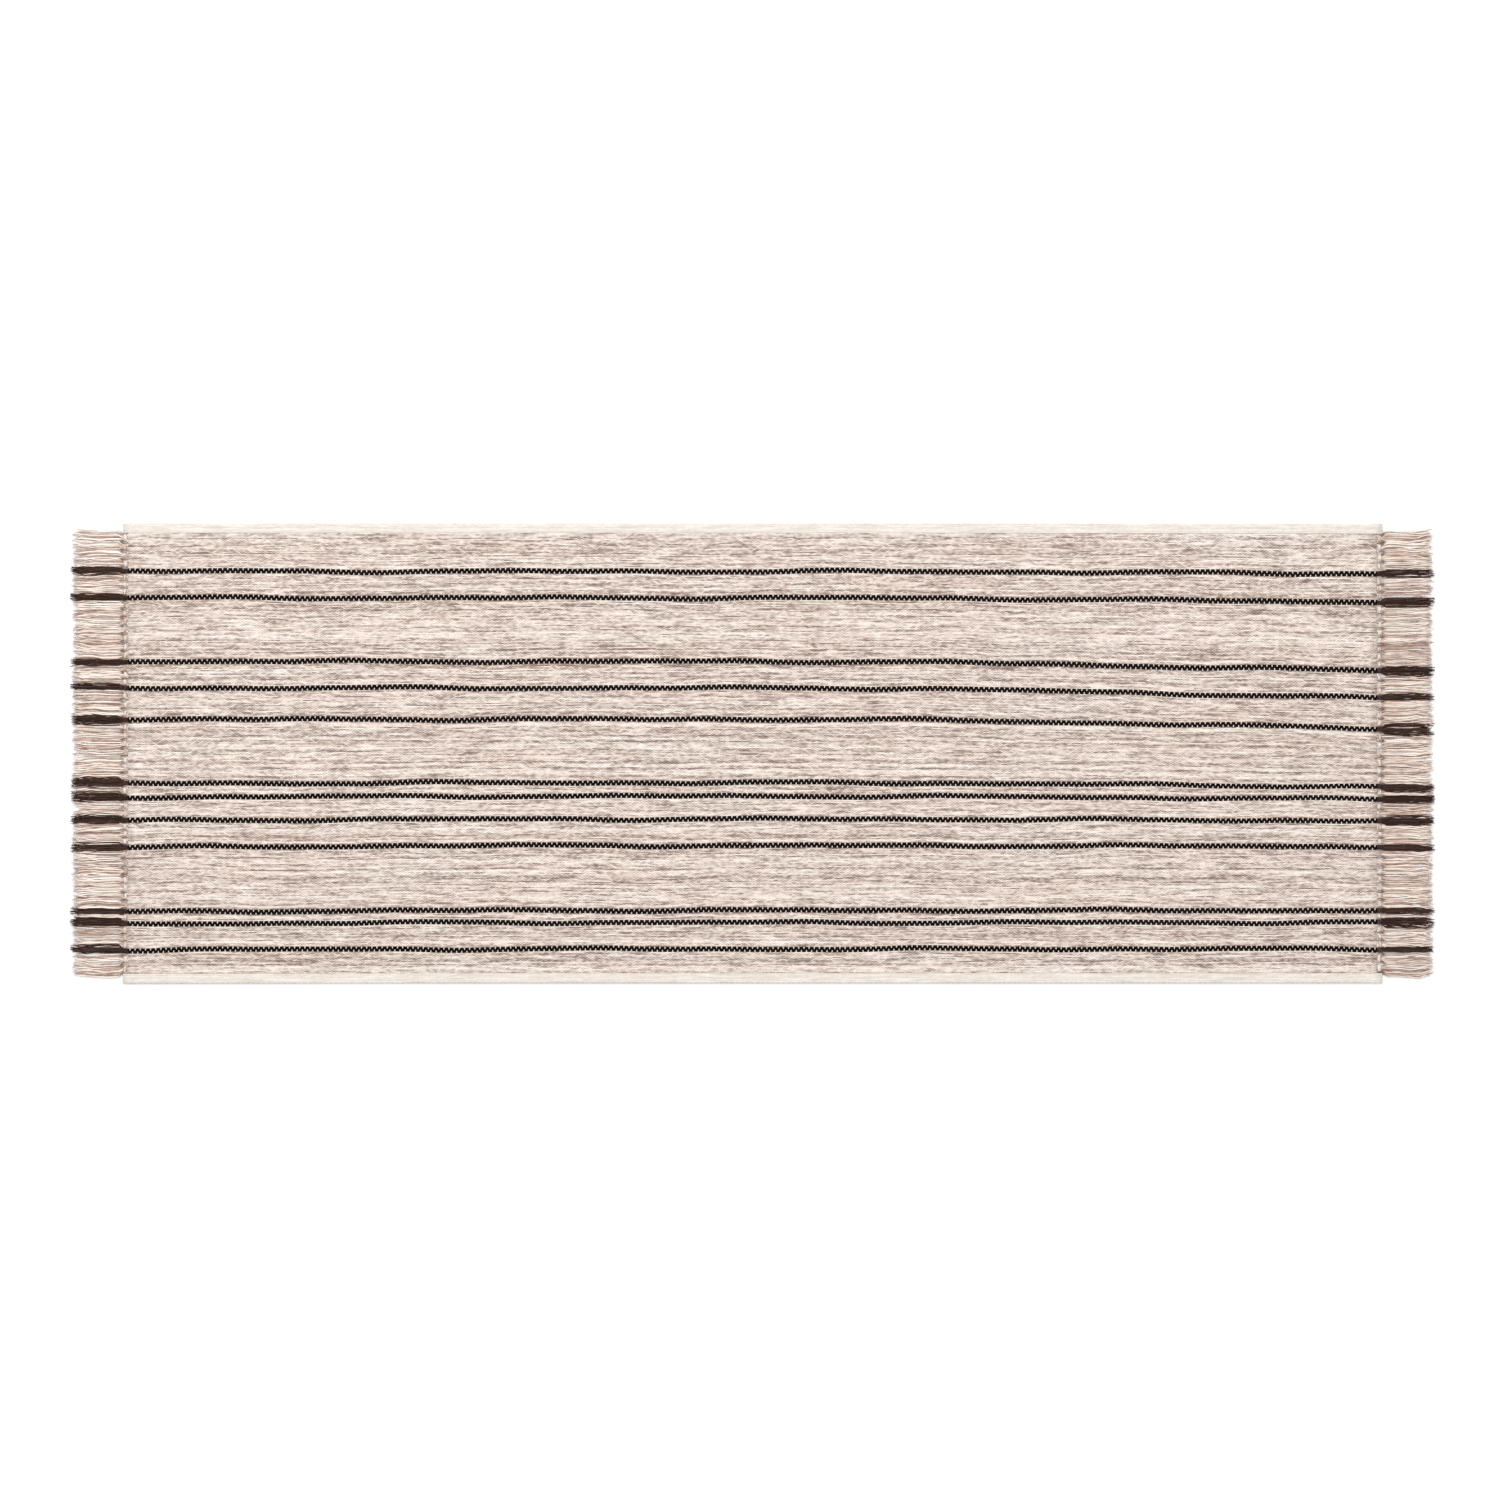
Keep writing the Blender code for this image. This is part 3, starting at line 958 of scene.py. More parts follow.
@dataclass
class Weft:
    """The one cream weft where it shows: teeth between the dark floats, and turns at the selvedges."""

    lay: Lay
    cords: StripeCords
    tooth_length: float = 2.5 * MM  # at the stripe's edge
    tooth_point: float = 0.30  # its length near the stripe's middle, as a share of that
    tooth_width: float = 3.2 * MM
    tooth_crown: float = 0.95 * MM
    tooth_drop: float = 0.25 * MM  # how far a tooth's crown stays below the dark floats
    tooth_aside: float = 0.25 * MM  # how far out from its cord's middle it sits
    tooth_lines: tuple[float, ...] = (-0.5, -0.22, 0.22, 0.5)  # its corners, as shares of its size
    tooth_bulge: tuple[float, ...] = (0.0, 1.0, 1.0, 0.0)  # how high each of them stands
    turn_yarn: float = 0.95 * MM  # the weft's half thickness
    turn_reach: float = 1.0 * MM  # how far a turn stands out past the selvedge
    turn_slant: float = 0.7 * MM  # how far it starts above its middle, and ends below it
    turn_share: float = 0.38  # half its length, as a share of the picks that it joins
    turn_around: int = 6
    turn_steps: int = 7

    def teeth(self, face: float) -> np.ndarray:
        """Makes every tooth of one face of the cloth as a low cushion.

        A tooth is a grid of four by four corners, shorter towards the stripe's middle, and crowned:
        each corner's height is the crown times the product of its two bulges. Teeth stand where a
        cord is down.

        Args:
            face: 1 for the walking face, -1 for the underside.

        Returns:
            Points as (teeth, 4, 4, 3).
        """
        bulge = np.array(self.tooth_bulge)
        spread = np.array(self.tooth_lines)
        made = []
        for strip in self.lay.strips:
            if strip.kind is not Kind.STRIPE:
                continue
            for cord, sign in enumerate((-1.0, 1.0)):
                x = self.cords.turns(strip, 0.5 if (cord == 0) == (face > 0) else 0.0)
                lower, upper = self.lay.edges(strip, x)
                y = (lower + upper) / 2 + sign * ((upper - lower) / 4 + self.tooth_aside)
                crown = strip.top - self.tooth_drop if face > 0 else self.tooth_drop
                points = np.empty((len(x), 4, 4, 3))
                inward = 0.5 - sign * spread[None, :]
                length = self.tooth_length * (1.0 - (1.0 - self.tooth_point) * inward)
                points[..., 0] = x[:, None, None] + length * spread[:, None]
                points[..., 1] = y[:, None, None] + self.tooth_width * spread[None, :]
                rise = bulge[:, None] * bulge[None, :]
                points[..., 2] = crown - face * self.tooth_crown * (1.0 - rise)
                made.append(points)
        return np.concatenate(made)

    def turns(self) -> np.ndarray:
        """Makes the weft's turns along both selvedges: half rings that join one pick to the next.

        A turn's middle line goes round half a circle in plan, squeezed across to its reach.

        Returns:
            Rings as (turns, stations, ring points, 3).
        """
        paths = []
        for strip in self.lay.strips:
            if strip.kind is not Kind.SELVEDGE:
                continue
            outer = 1.0 if strip.middle > 0 else -1.0
            x = self.cords.turns(strip, 0.0)
            lower, upper = self.lay.edges(strip, x)
            edge = upper if outer > 0 else lower
            angle = np.linspace(0.0, math.pi, self.turn_steps)
            path = np.empty((len(x), self.turn_steps, 3))
            path[..., 0] = x[:, None] - self.cords.picks * self.turn_share * np.cos(angle)
            path[..., 1] = edge[:, None] + outer * (self.turn_reach * np.sin(angle) - self.turn_yarn)
            path[..., 2] = strip.top / 2 + self.turn_slant * np.cos(angle)
            paths.append(path)
        path = np.concatenate(paths)
        radii = np.full((*path.shape[:2], 2), self.turn_yarn)
        return tube_rings(path, radii, self.turn_around, UPWARDS)

    def build_teeth(self, name: str, face: float, material: bpy.types.Material) -> bpy.types.Object:
        """Skins the teeth of one face, each shut on its flat side by one face round its rim.

        Args:
            name: the piece's name.
            face: 1 for the walking face, -1 for the underside.
            material: the weft's finish.

        Returns:
            The piece.
        """
        grid = self.teeth(face)
        index = np.arange(grid.size // 3).reshape(-1, 4, 4)
        near, far = index[:, :-1], index[:, 1:]
        quads = np.stack([near[..., :-1], far[..., :-1], far[..., 1:], near[..., 1:]], axis=-1)
        quads = quads.reshape(-1, 4)
        sides = [index[:, 0, :-1], index[:, :-1, -1], index[:, -1, :0:-1], index[:, :0:-1, 0]]
        rim = np.concatenate(sides, axis=1)
        if face < 0:
            quads, rim = quads[:, ::-1], rim[:, ::-1]
        thread = grid[..., 0] / self.cords.picks * 2 + FirstThread.TEETH
        marks = {"along": grid[..., 1], "thread": thread, "around": np.zeros(())}
        return skin(name, grid, [quads, rim], marks, material)

    def build_turns(self, name: str, material: bpy.types.Material) -> bpy.types.Object:
        """Skins the selvedge turns.

        Args:
            name: the piece's name.
            material: the weft's finish.

        Returns:
            The piece.
        """
        rings = self.turns()
        along = np.broadcast_to(np.arange(rings.shape[1]) * MM, rings.shape[:2])
        marks = yarn_marks(along, np.arange(len(rings)) + FirstThread.TURN, self.turn_around)
        return loft(name, rings, marks, material)


# ------------------------------------------------------------------------ knots and fringe


@dataclass
class Bunch:
    """A few warp ends that share one knot."""

    knot: float  # y of the knot
    ends: np.ndarray  # y of each end where the cloth stops
    dark: bool
    number: int = 0  # of the tassel, if it is dark


@dataclass(frozen=True)
class Fray:
    """How the plies of a pale strand come apart at its tip."""

    plies: int = 3
    stations: int = 4
    around: int = 3
    lengths: tuple[float, float] = (2.0 * MM, 5.5 * MM)
    spread: float = 1.1 * MM
    lifts: tuple[float, float] = (-0.4 * MM, 0.6 * MM)
    back: float = 1.0 * MM  # how far inside the strand a ply starts
    bend: float = 1.6  # the power of its length with which a ply turns aside
    thickness: float = 0.36  # a ply's half width at its start, as a share of the strand's
    taper: float = 0.24  # how much of that share it has lost at its tip
    lowest: float = 0.3 * MM

    def rings(
        self, rng: np.random.Generator, tips: np.ndarray, half: np.ndarray, side: float
    ) -> np.ndarray:
        """Makes the plies of every strand.

        Along x a ply goes on from its strand. It turns aside by its spread times its length's share
        to the power of the bend, and it thins evenly.

        Args:
            rng: the piece's random source.
            tips: the last point of each strand, as (strands, 3).
            half: the strands' half widths.
            side: the way the end faces along X.

        Returns:
            Rings as (plies, stations, ring points, 3).
        """
        tips = np.repeat(tips, self.plies, axis=0)
        count = len(tips)
        share = np.linspace(0.0, 1.0, self.stations)
        length = rng.uniform(*self.lengths, count)
        spread = rng.normal(0.0, 1.0, count) * self.spread
        lift = rng.uniform(*self.lifts, count)
        ply = np.empty((count, self.stations, 3))
        ply[..., 0] = tips[:, None, 0] + side * (share * length[:, None] - self.back)
        ply[..., 1] = tips[:, None, 1] + spread[:, None] * share**self.bend
        ply[..., 2] = np.maximum(tips[:, None, 2] + lift[:, None] * share, self.lowest)
        thin = np.repeat(half, self.plies)[:, None] * (self.thickness - self.taper * share)
        return tube_rings(ply, np.stack([thin, thin], axis=-1), self.around, UPWARDS)


@dataclass(frozen=True)
class PaleFringe:
    """The pale strands of one end: an upper layer, one for each warp end, and a sparser lower one."""

    strand: float = 0.82 * MM  # half width
    strand_change: tuple[float, float] = (0.85, 1.12)
    upper_level: float = 2.1 * MM
    lower_level: float = 1.0 * MM
    level_change: float = 0.35 * MM
    lower_share: float = 0.70  # how many ends have a strand in the lower layer too
    lower_stray: float = 0.5 * MM
    lower_shade: float = 0.42  # painted shade: how far the lower layer is mixed towards the hollow brown all along, as it lies under the upper one
    fan: float = 11 * MM  # how far past its knot a bunch has spread out again
    pinch: float = 0.55  # how far a bunch narrows in its knot
    loose_pinch: float = 1.0  # the same for the lower layer, which fills the gaps between the knots
    opening: float = 0.10  # how much wider a bunch is at its tips than in the cloth
    flare: float = 3.5 * MM  # how far the outermost strands lean out at their tips
    flare_power: int = 9
    tip_stray: float = 0.9 * MM
    tip_back: float = 5.0 * MM  # how far the pale tips stay behind the frame's
    tip_trim: float = 1.7 * MM  # how unevenly they were trimmed
    hollow_place: float = 0.6 * MM  # where the painted shade in the hollows between the knots is darkest, past the knots
    # the painted shade between the knots: its length along x, and its darkness
    hollow_length: float = 4.2 * MM
    hollow_depth: float = 0.95
    lower_hollow: float = 0.3  # how dark the painted shade of the hollow is in the middle of a bunch's lower layer


@dataclass(frozen=True)
class DarkTassel:
    """The tassel of one stripe: layers of fine strands from its knot, splayed at the tips."""

    strand: float = 0.64 * MM
    strand_change: tuple[float, float] = (0.85, 1.15)
    across: int = 12  # strands side by side in a tassel that fills its node
    across_least: float = 0.35  # the share of them that even the thinnest tassel has
    levels: tuple[float, ...] = (0.9 * MM, 2.1 * MM, 3.2 * MM)
    level_change: float = 0.25 * MM
    narrowing: tuple[float, ...] = (0.92, 1.0, 0.86)  # each layer's width, as a share of the widest
    neck: float = 4.6 * MM  # a tassel's width where it leaves the stripe
    fan: float = 9.5 * MM
    fullness: tuple[float, float] = (0.42, 1.02)  # how much of its node's width a tassel fills
    drift: float = 1.2 * MM  # how far it leans aside
    splay: tuple[float, float] = (0.75, 1.25)  # its width at the tips, as a share of its own
    tip_stray: float = 0.7 * MM
    reach: float = 5.5 * MM  # how far its tips differ from each other
    reach_out: float = 0.5  # the longest tip, as a share of that, past the frame's
    reach_back: float = 2.6
    reach_power: float = 1.2
    belly: float = 0.3  # how much wider a tassel may be at half its length
    threads: int = 60  # how many thread numbers are kept free for each tassel


@dataclass(frozen=True)
class Knot:
    """One knot: a bunch wrapped by two turns of its own yarn."""

    wraps: int = 2
    turns: float = 1.5  # how often one wrap goes round
    turn_change: float = 0.4
    stations: int = 16
    around: int = 6
    yarn: float = 1.20 * MM  # half thickness
    yarn_change: tuple[float, float] = (-0.15 * MM, 0.1 * MM)
    end_yarn: float = 0.6  # the yarn's thickness where it dives into the bunch
    dive: float = 0.4
    length: float = 3.6 * MM
    margin: float = 0.2 * MM  # from the bunch's edge to the wrap's middle line
    middle: float = 2.95 * MM  # the height of the knot's middle
    rise: float = 1.65 * MM
    dark_half: float = 2.2 * MM  # half the width of a dark bunch in its knot
    fatness: tuple[float, float] = (0.82, 1.12)
    stray: float = 0.5 * MM
    lean: float = 0.6 * MM
    wrap_stray: float = 0.3 * MM


@dataclass
class FringedEnd:
    """One end of the rug: the ends leave the cloth, pass a row of knots and fan out as fringe."""

    lay: Lay
    end: End
    pale: PaleFringe = field(default_factory=PaleFringe)
    dark: DarkTassel = field(default_factory=DarkTassel)
    knot: Knot = field(default_factory=Knot)
    fray: Fray = field(default_factory=Fray)
    knot_pitch: float = 11 * MM
    end_pitch: float = 1.58 * MM
    dark_ends: int = 4
    knot_back: float = 3.4 * MM  # from the end of the knot row back to the middle of a knot
    cloth_back: float = 1.2 * MM  # how far inside the cloth a strand starts
    cloth_level: float = 2.2 * MM  # the height of a strand's middle line in the cloth
    knot_level: float = 2.9 * MM
    knot_change: float = 1.1 * MM
    lowest: float = 0.88 * MM  # a strand's middle never comes nearer to the floor
    wave: float = 1.2 * MM
    wave_lengths: tuple[float, ...] = (34 * MM, 19 * MM)
    wave_change: tuple[float, float] = (0.2, 1.0)  # a strand's own share of it
    sway: float = 2.8 * MM  # how far a whole bunch bends aside
    sway_change: tuple[float, float] = (0.3, 1.0)
    sway_length: float = 75 * MM
    tight: float = 0.30  # how much slimmer a strand is in its knot
    tight_length: float = 3.5 * MM
    point: float = 0.45  # a strand's thickness at its very tip
    point_length: float = 4.0 * MM
    flatness: float = 0.92  # a strand's height, as a share of its width
    around: int = 5
    stations: int = 21
    near_stations: int = 4  # of those, up to the end of the knots
    bend_stations: int = 8  # and in the stretch just past the knots
    bend_length: float = 13 * MM  # the stretch past the knots in which a fold of the fringe would bend it
    row_outer: float = field(init=False)  # x of the knot row's outer side, without sign
    tip: float = field(init=False)  # x of the frame's tips, without sign
    half_width: float = field(init=False)  # y of the fringe's outermost strand
    bunches: list[Bunch] = field(init=False)

    def __post_init__(self) -> None:
        """Takes the end's places from the frame."""
        letter = self.end.letter
        low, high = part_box(f"knot_row_{letter}")
        self.row_outer = max(abs(low.x), abs(high.x))
        low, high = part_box(f"fringe_{letter}")
        self.tip = max(abs(low.x), abs(high.x))
        self.half_width = high.y
        self.bunches = self._bunches()

    def _bunches(self) -> list[Bunch]:
        """Sorts the ends where the cloth stops into bunches, one for each knot.

        Returns:
            The bunches from +Y to -Y: one for each stripe, and for each ground band as many as fit
            at the knots' pitch.
        """
        x = np.array([self.end.side * self.lay.half_cloth])
        made: list[Bunch] = []
        number = 0
        for strip in self.lay.strips:
            if strip.kind is Kind.SELVEDGE:
                continue
            lower, upper = (float(edge[0]) for edge in self.lay.edges(strip, x))
            width = upper - lower
            if strip.kind is Kind.STRIPE:
                number += 1
                ends = upper - width * (np.arange(self.dark_ends) + 0.5) / self.dark_ends
                made.append(Bunch((upper + lower) / 2, ends, True, number))
                continue
            knots = max(1, round(width / self.knot_pitch))
            ends = max(1, round(width / self.end_pitch))
            places = upper - width * (np.arange(ends) + 0.5) / ends
            owner = np.minimum((np.arange(ends) * knots) // ends, knots - 1)
            for knot in range(knots):
                own = places[owner == knot]
                made.append(Bunch(float(own.mean()), own, False))
        return made

    def _strand_paths(
        self,
        rng: np.random.Generator,
        start: np.ndarray,
        knot: np.ndarray,
        pinch: np.ndarray,
        fan: float,
        tips: np.ndarray,
        level: np.ndarray,
        reach: np.ndarray,
    ) -> np.ndarray:
        """Lays the strands' middle lines from the cloth, through their knots, to their tips.

        Along x a strand goes from the cloth's edge to its reach. Across, it eases from its place in
        the cloth to its pinched place in the knot, then to its place at the tips, on which slow
        waves of its own grow with the distance from the knot. It rises to the knot's middle and
        sinks to its level on the floor.

        Args:
            rng: the piece's random source.
            start: y of each strand where it leaves the cloth.
            knot: y of its knot.
            pinch: how far its bunch narrows there.
            fan: how far past the knot it has reached its place at the tips.
            tips: y of its tip.
            level: its height on the floor.
            reach: x of its tip, without sign.

        Returns:
            Points as (strands, stations, 3), with x already signed for this end.
        """
        count = len(start)
        inside = self.lay.half_cloth - self.cloth_back
        centre = self.row_outer - self.knot_back
        bend_end = self.row_outer + self.bend_length
        near = np.linspace(inside, self.row_outer, self.near_stations + 1)[:-1]
        over = np.linspace(self.row_outer, bend_end, self.bend_stations + 1)[:-1]
        share = np.linspace(0.0, 1.0, self.stations - self.near_stations - self.bend_stations)
        far = bend_end + (reach[:, None] - bend_end) * share
        x = np.concatenate([np.tile(np.concatenate([near, over]), (count, 1)), far], axis=1)
        into = smoothstep((x - inside) / (centre - inside))
        out = smoothstep((x - centre) / fan)
        bound = (knot + pinch * (start - knot))[:, None]
        y = start[:, None] + (bound - start[:, None]) * into
        y = y + (tips[:, None] - bound) * out
        grown = np.clip((x - self.row_outer) / (reach[:, None] - self.row_outer), 0.0, 1.0)
        for length in self.wave_lengths:
            phase = rng.uniform(0.0, TAU, (count, 1))
            size = rng.uniform(*self.wave_change, (count, 1)) * self.wave
            size = size * length / self.wave_lengths[0]
            y = y + size * grown * np.sin(TAU * x / length + phase)
        knot_level = self.knot_level + rng.uniform(-self.knot_change, self.knot_change, count)
        z = self.cloth_level + (knot_level - self.cloth_level)[:, None] * into
        z = np.maximum(z + (level - knot_level)[:, None] * out, self.lowest)
        return np.stack([self.end.side * x, y, z], axis=-1)

    def _bunch_sway(self, rng: np.random.Generator, knot: np.ndarray, x: np.ndarray) -> np.ndarray:
        """Bends each bunch as a whole: one slow sine for every knot, growing towards the tips.

        Args:
            rng: the piece's random source.
            knot: y of each strand's knot.
            x: the strands' stations, without sign.

        Returns:
            What to add to y, as (strands, stations).
        """
        _, owner = np.unique(knot, return_inverse=True)
        grown = np.clip((x - self.row_outer) / (self.tip - self.row_outer), 0.0, 1.0)
        phase = rng.uniform(0.0, TAU, owner.max() + 1)[owner][:, None]
        size = rng.uniform(*self.sway_change, owner.max() + 1)[owner][:, None] * self.sway
        return size * grown * np.sin(TAU * (x - self.row_outer) / self.sway_length + phase)

    def _strand_rings(self, paths: np.ndarray, half: np.ndarray) -> np.ndarray:
        """Gives each strand its thickness: slimmer in the knot, fuller outside, fine at its tip.

        In the knot the half width loses a bell curve, the exponential of less the square of the
        distance from the knot over the tight length. Towards the tip it falls evenly to a point.

        Args:
            paths: the strands' middle lines.
            half: their half widths.

        Returns:
            Rings as (strands, stations, ring points, 3).
        """
        x = np.abs(paths[:, :, 0])
        tight = np.exp(-(((x - self.row_outer + self.knot_back) / self.tight_length) ** 2))
        left = np.clip((x.max(axis=1, keepdims=True) - x) / self.point_length, 0.0, 1.0)
        size = half[:, None] * (1.0 - self.tight * tight) * (self.point + (1.0 - self.point) * left)
        return tube_rings(paths, np.stack([size, self.flatness * size], axis=-1), self.around, UPWARDS)

    def _hollows(self, paths: np.ndarray, off: np.ndarray, upper: np.ndarray) -> np.ndarray:
        """Says how much painted shade each strand gets between two knots: a bell curve along x, darkest
        beside them.

        The lower layer gets at least its own painted shade all along.

        Args:
            paths: the strands' middle lines.
            off: how far each strand starts from its knot.
            upper: whether it is in the upper layer.

        Returns:
            0 for no painted shade to 1 for the darkest, in the deepest hollow, as (strands, stations, 1).
        """
        outer = np.clip(np.abs(off) / (0.5 * self.knot_pitch), 0.0, 1.0)
        lower = self.pale.lower_hollow + (1.0 - self.pale.lower_hollow) * outer
        depth = self.pale.hollow_depth * np.where(upper, outer**2, lower)
        past = np.abs(paths[:, :, 0]) - self.row_outer - self.pale.hollow_place
        bell = np.exp(-((past / self.pale.hollow_length) ** 2))
        shade = np.where(upper, 0.0, self.pale.lower_shade)
        return np.maximum(depth[:, None] * bell, shade[:, None])[:, :, None]

    def build_pale(self, name: str, material: bpy.types.Material) -> list[bpy.types.Object]:
        """Makes the pale strands and their frayed tips.

        Args:
            name: the strands' name, from which the tips take theirs.
            material: the fringe's finish.

        Returns:
            The strands and the tips.
        """
        pale = self.pale
        rng = seeded(name)
        bunches = [bunch for bunch in self.bunches if not bunch.dark]
        start = np.concatenate([bunch.ends for bunch in bunches])
        knot = np.concatenate([np.full(len(bunch.ends), bunch.knot) for bunch in bunches])
        under = rng.random(len(start)) < pale.lower_share
        start = np.concatenate([start, start[under] + rng.normal(0.0, pale.lower_stray, under.sum())])
        knot = np.concatenate([knot, knot[under]])
        count = len(start)
        upper = np.arange(count) < len(under)
        level = np.where(upper, pale.upper_level, pale.lower_level)
        level = level + rng.uniform(-pale.level_change, pale.level_change, count)
        flare = pale.flare * (start / self.half_width) ** pale.flare_power
        tips = start + pale.opening * (start - knot) + flare + rng.normal(0.0, pale.tip_stray, count)
        reach = self.tip - pale.tip_back + rng.normal(0.0, pale.tip_trim, count)
        half = pale.strand * rng.uniform(*pale.strand_change, count)
        pinch = np.where(upper, pale.pinch, pale.loose_pinch)
        paths = self._strand_paths(rng, start, knot, pinch, pale.fan, tips, level, reach)
        paths[:, :, 1] += self._bunch_sway(rng, knot, np.abs(paths[:, :, 0]))
        threads = np.arange(count) + FirstThread.PALE + self.end.threads
        marks = yarn_marks(path_lengths(paths), threads, self.around)
        # painted shade between the knots, and all along the lower layer
        marks["hollow"] = self._hollows(paths, start - knot, upper)
        strands = loft(name, self._strand_rings(paths, half), marks, material)
        plies = self.fray.rings(rng, paths[:, -1], half, self.end.side)
        along = np.broadcast_to(np.arange(self.fray.stations) * MM, plies.shape[:2])
        marks = yarn_marks(along, np.repeat(threads, self.fray.plies), self.fray.around)
        return [strands, loft(f"{name}_tips", plies, marks, material)]

    def build_tassel(self, bunch: Bunch, name: str, material: bpy.types.Material) -> bpy.types.Object:
        """Makes one dark tassel.

        Args:
            bunch: the stripe's bunch.
            name: the piece's name.
            material: the tassel's finish.

        Returns:
            The tassel.
        """
        dark = self.dark
        rng = seeded(name)
        low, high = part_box(f"tassel_{self.end.letter}_{bunch.number:02d}")
        fullness = rng.uniform(*dark.fullness)
        middle, spread = (low.y + high.y) / 2, (high.y - low.y) * fullness
        across = round(dark.across * (dark.across_least + (1.0 - dark.across_least) * fullness))
        columns = np.tile(np.linspace(-0.5, 0.5, across), len(dark.levels))
        layers = np.repeat(np.arange(len(dark.levels)), across)
        count = len(columns)
        start = bunch.knot + columns * dark.neck
        drift = rng.normal(0.0, dark.drift)
        width = columns * spread * np.array(dark.narrowing)[layers] * rng.uniform(*dark.splay)
        tips = middle + drift + width + rng.normal(0.0, dark.tip_stray, count)
        level = np.array(dark.levels)[layers] + rng.uniform(-dark.level_change, dark.level_change, count)
        shorter = dark.reach_back * rng.random(count) ** dark.reach_power
        reach = self.tip + dark.reach * (dark.reach_out - shorter)
        half = dark.strand * rng.uniform(*dark.strand_change, count)
        knot = np.full(count, bunch.knot)
        paths = self._strand_paths(rng, start, knot, np.ones(count), dark.fan, tips, level, reach)
        past = np.clip((np.abs(paths[:, :, 0]) - self.row_outer) / (self.tip - self.row_outer), 0.0, 1.0)
        bulge = (columns * spread * rng.uniform(0.0, dark.belly))[:, None]
        paths[:, :, 1] += bulge * np.sin(math.pi * past)
        threads = np.arange(count) + FirstThread.TASSEL + dark.threads * bunch.number
        marks = yarn_marks(path_lengths(paths), threads, self.around)
        return loft(name, self._strand_rings(paths, half), marks, material)

    def build_knots(self, name: str, dark: bool, material: bpy.types.Material) -> bpy.types.Object:
        """Makes the knots of one colour.

        A wrap's middle line goes round the bunch in an oval while it steps along x, so that its
        start and end cross the bunch on a slant, and it dives into the bunch at both ends.

        Args:
            name: the piece's name.
            dark: whether to make the stripes' knots or the pale ones.
            material: the knots' finish.

        Returns:
            The knots.
        """
        shape = self.knot
        rng = seeded(name)
        share = np.linspace(0.0, 1.0, shape.stations)
        depth = np.sin(math.pi * share) ** shape.dive
        paths, radii = [], []
        for bunch in self.bunches:
            if bunch.dark is not dark:
                continue
            centre = bunch.knot + rng.uniform(-shape.stray, shape.stray)
            pale_half = 0.5 * self.pale.pinch * (np.ptp(bunch.ends) + self.end_pitch)
            half = (shape.dark_half if dark else pale_half) * rng.uniform(*shape.fatness)
            middle = self.row_outer - self.knot_back + rng.uniform(-shape.lean, shape.lean)
            for wrap in range(shape.wraps):
                turn = TAU * (shape.turns * share + wrap / shape.wraps)
                turn = turn + rng.uniform(-shape.turn_change, shape.turn_change)
                stray = rng.uniform(-shape.wrap_stray, shape.wrap_stray)
                x = middle + (share - 0.5) * shape.length + stray
                y = centre + (half + shape.margin) * np.cos(turn) * depth
                z = shape.middle + shape.rise * np.sin(turn) * depth
                paths.append(np.stack([self.end.side * x, y, z], axis=-1))
                size = shape.yarn + rng.uniform(*shape.yarn_change)
                size = size * (shape.end_yarn + (1.0 - shape.end_yarn) * depth)
                radii.append(np.stack([size, size], axis=-1))
        path = np.array(paths)
        rings = tube_rings(path, np.array(radii), shape.around, ALONG_RUG)
        threads = np.arange(len(path)) + FirstThread.KNOT + self.end.threads
        return loft(name, rings, yarn_marks(path_lengths(path), threads, shape.around), material)


# ------------------------------------------------------------------------ the rug


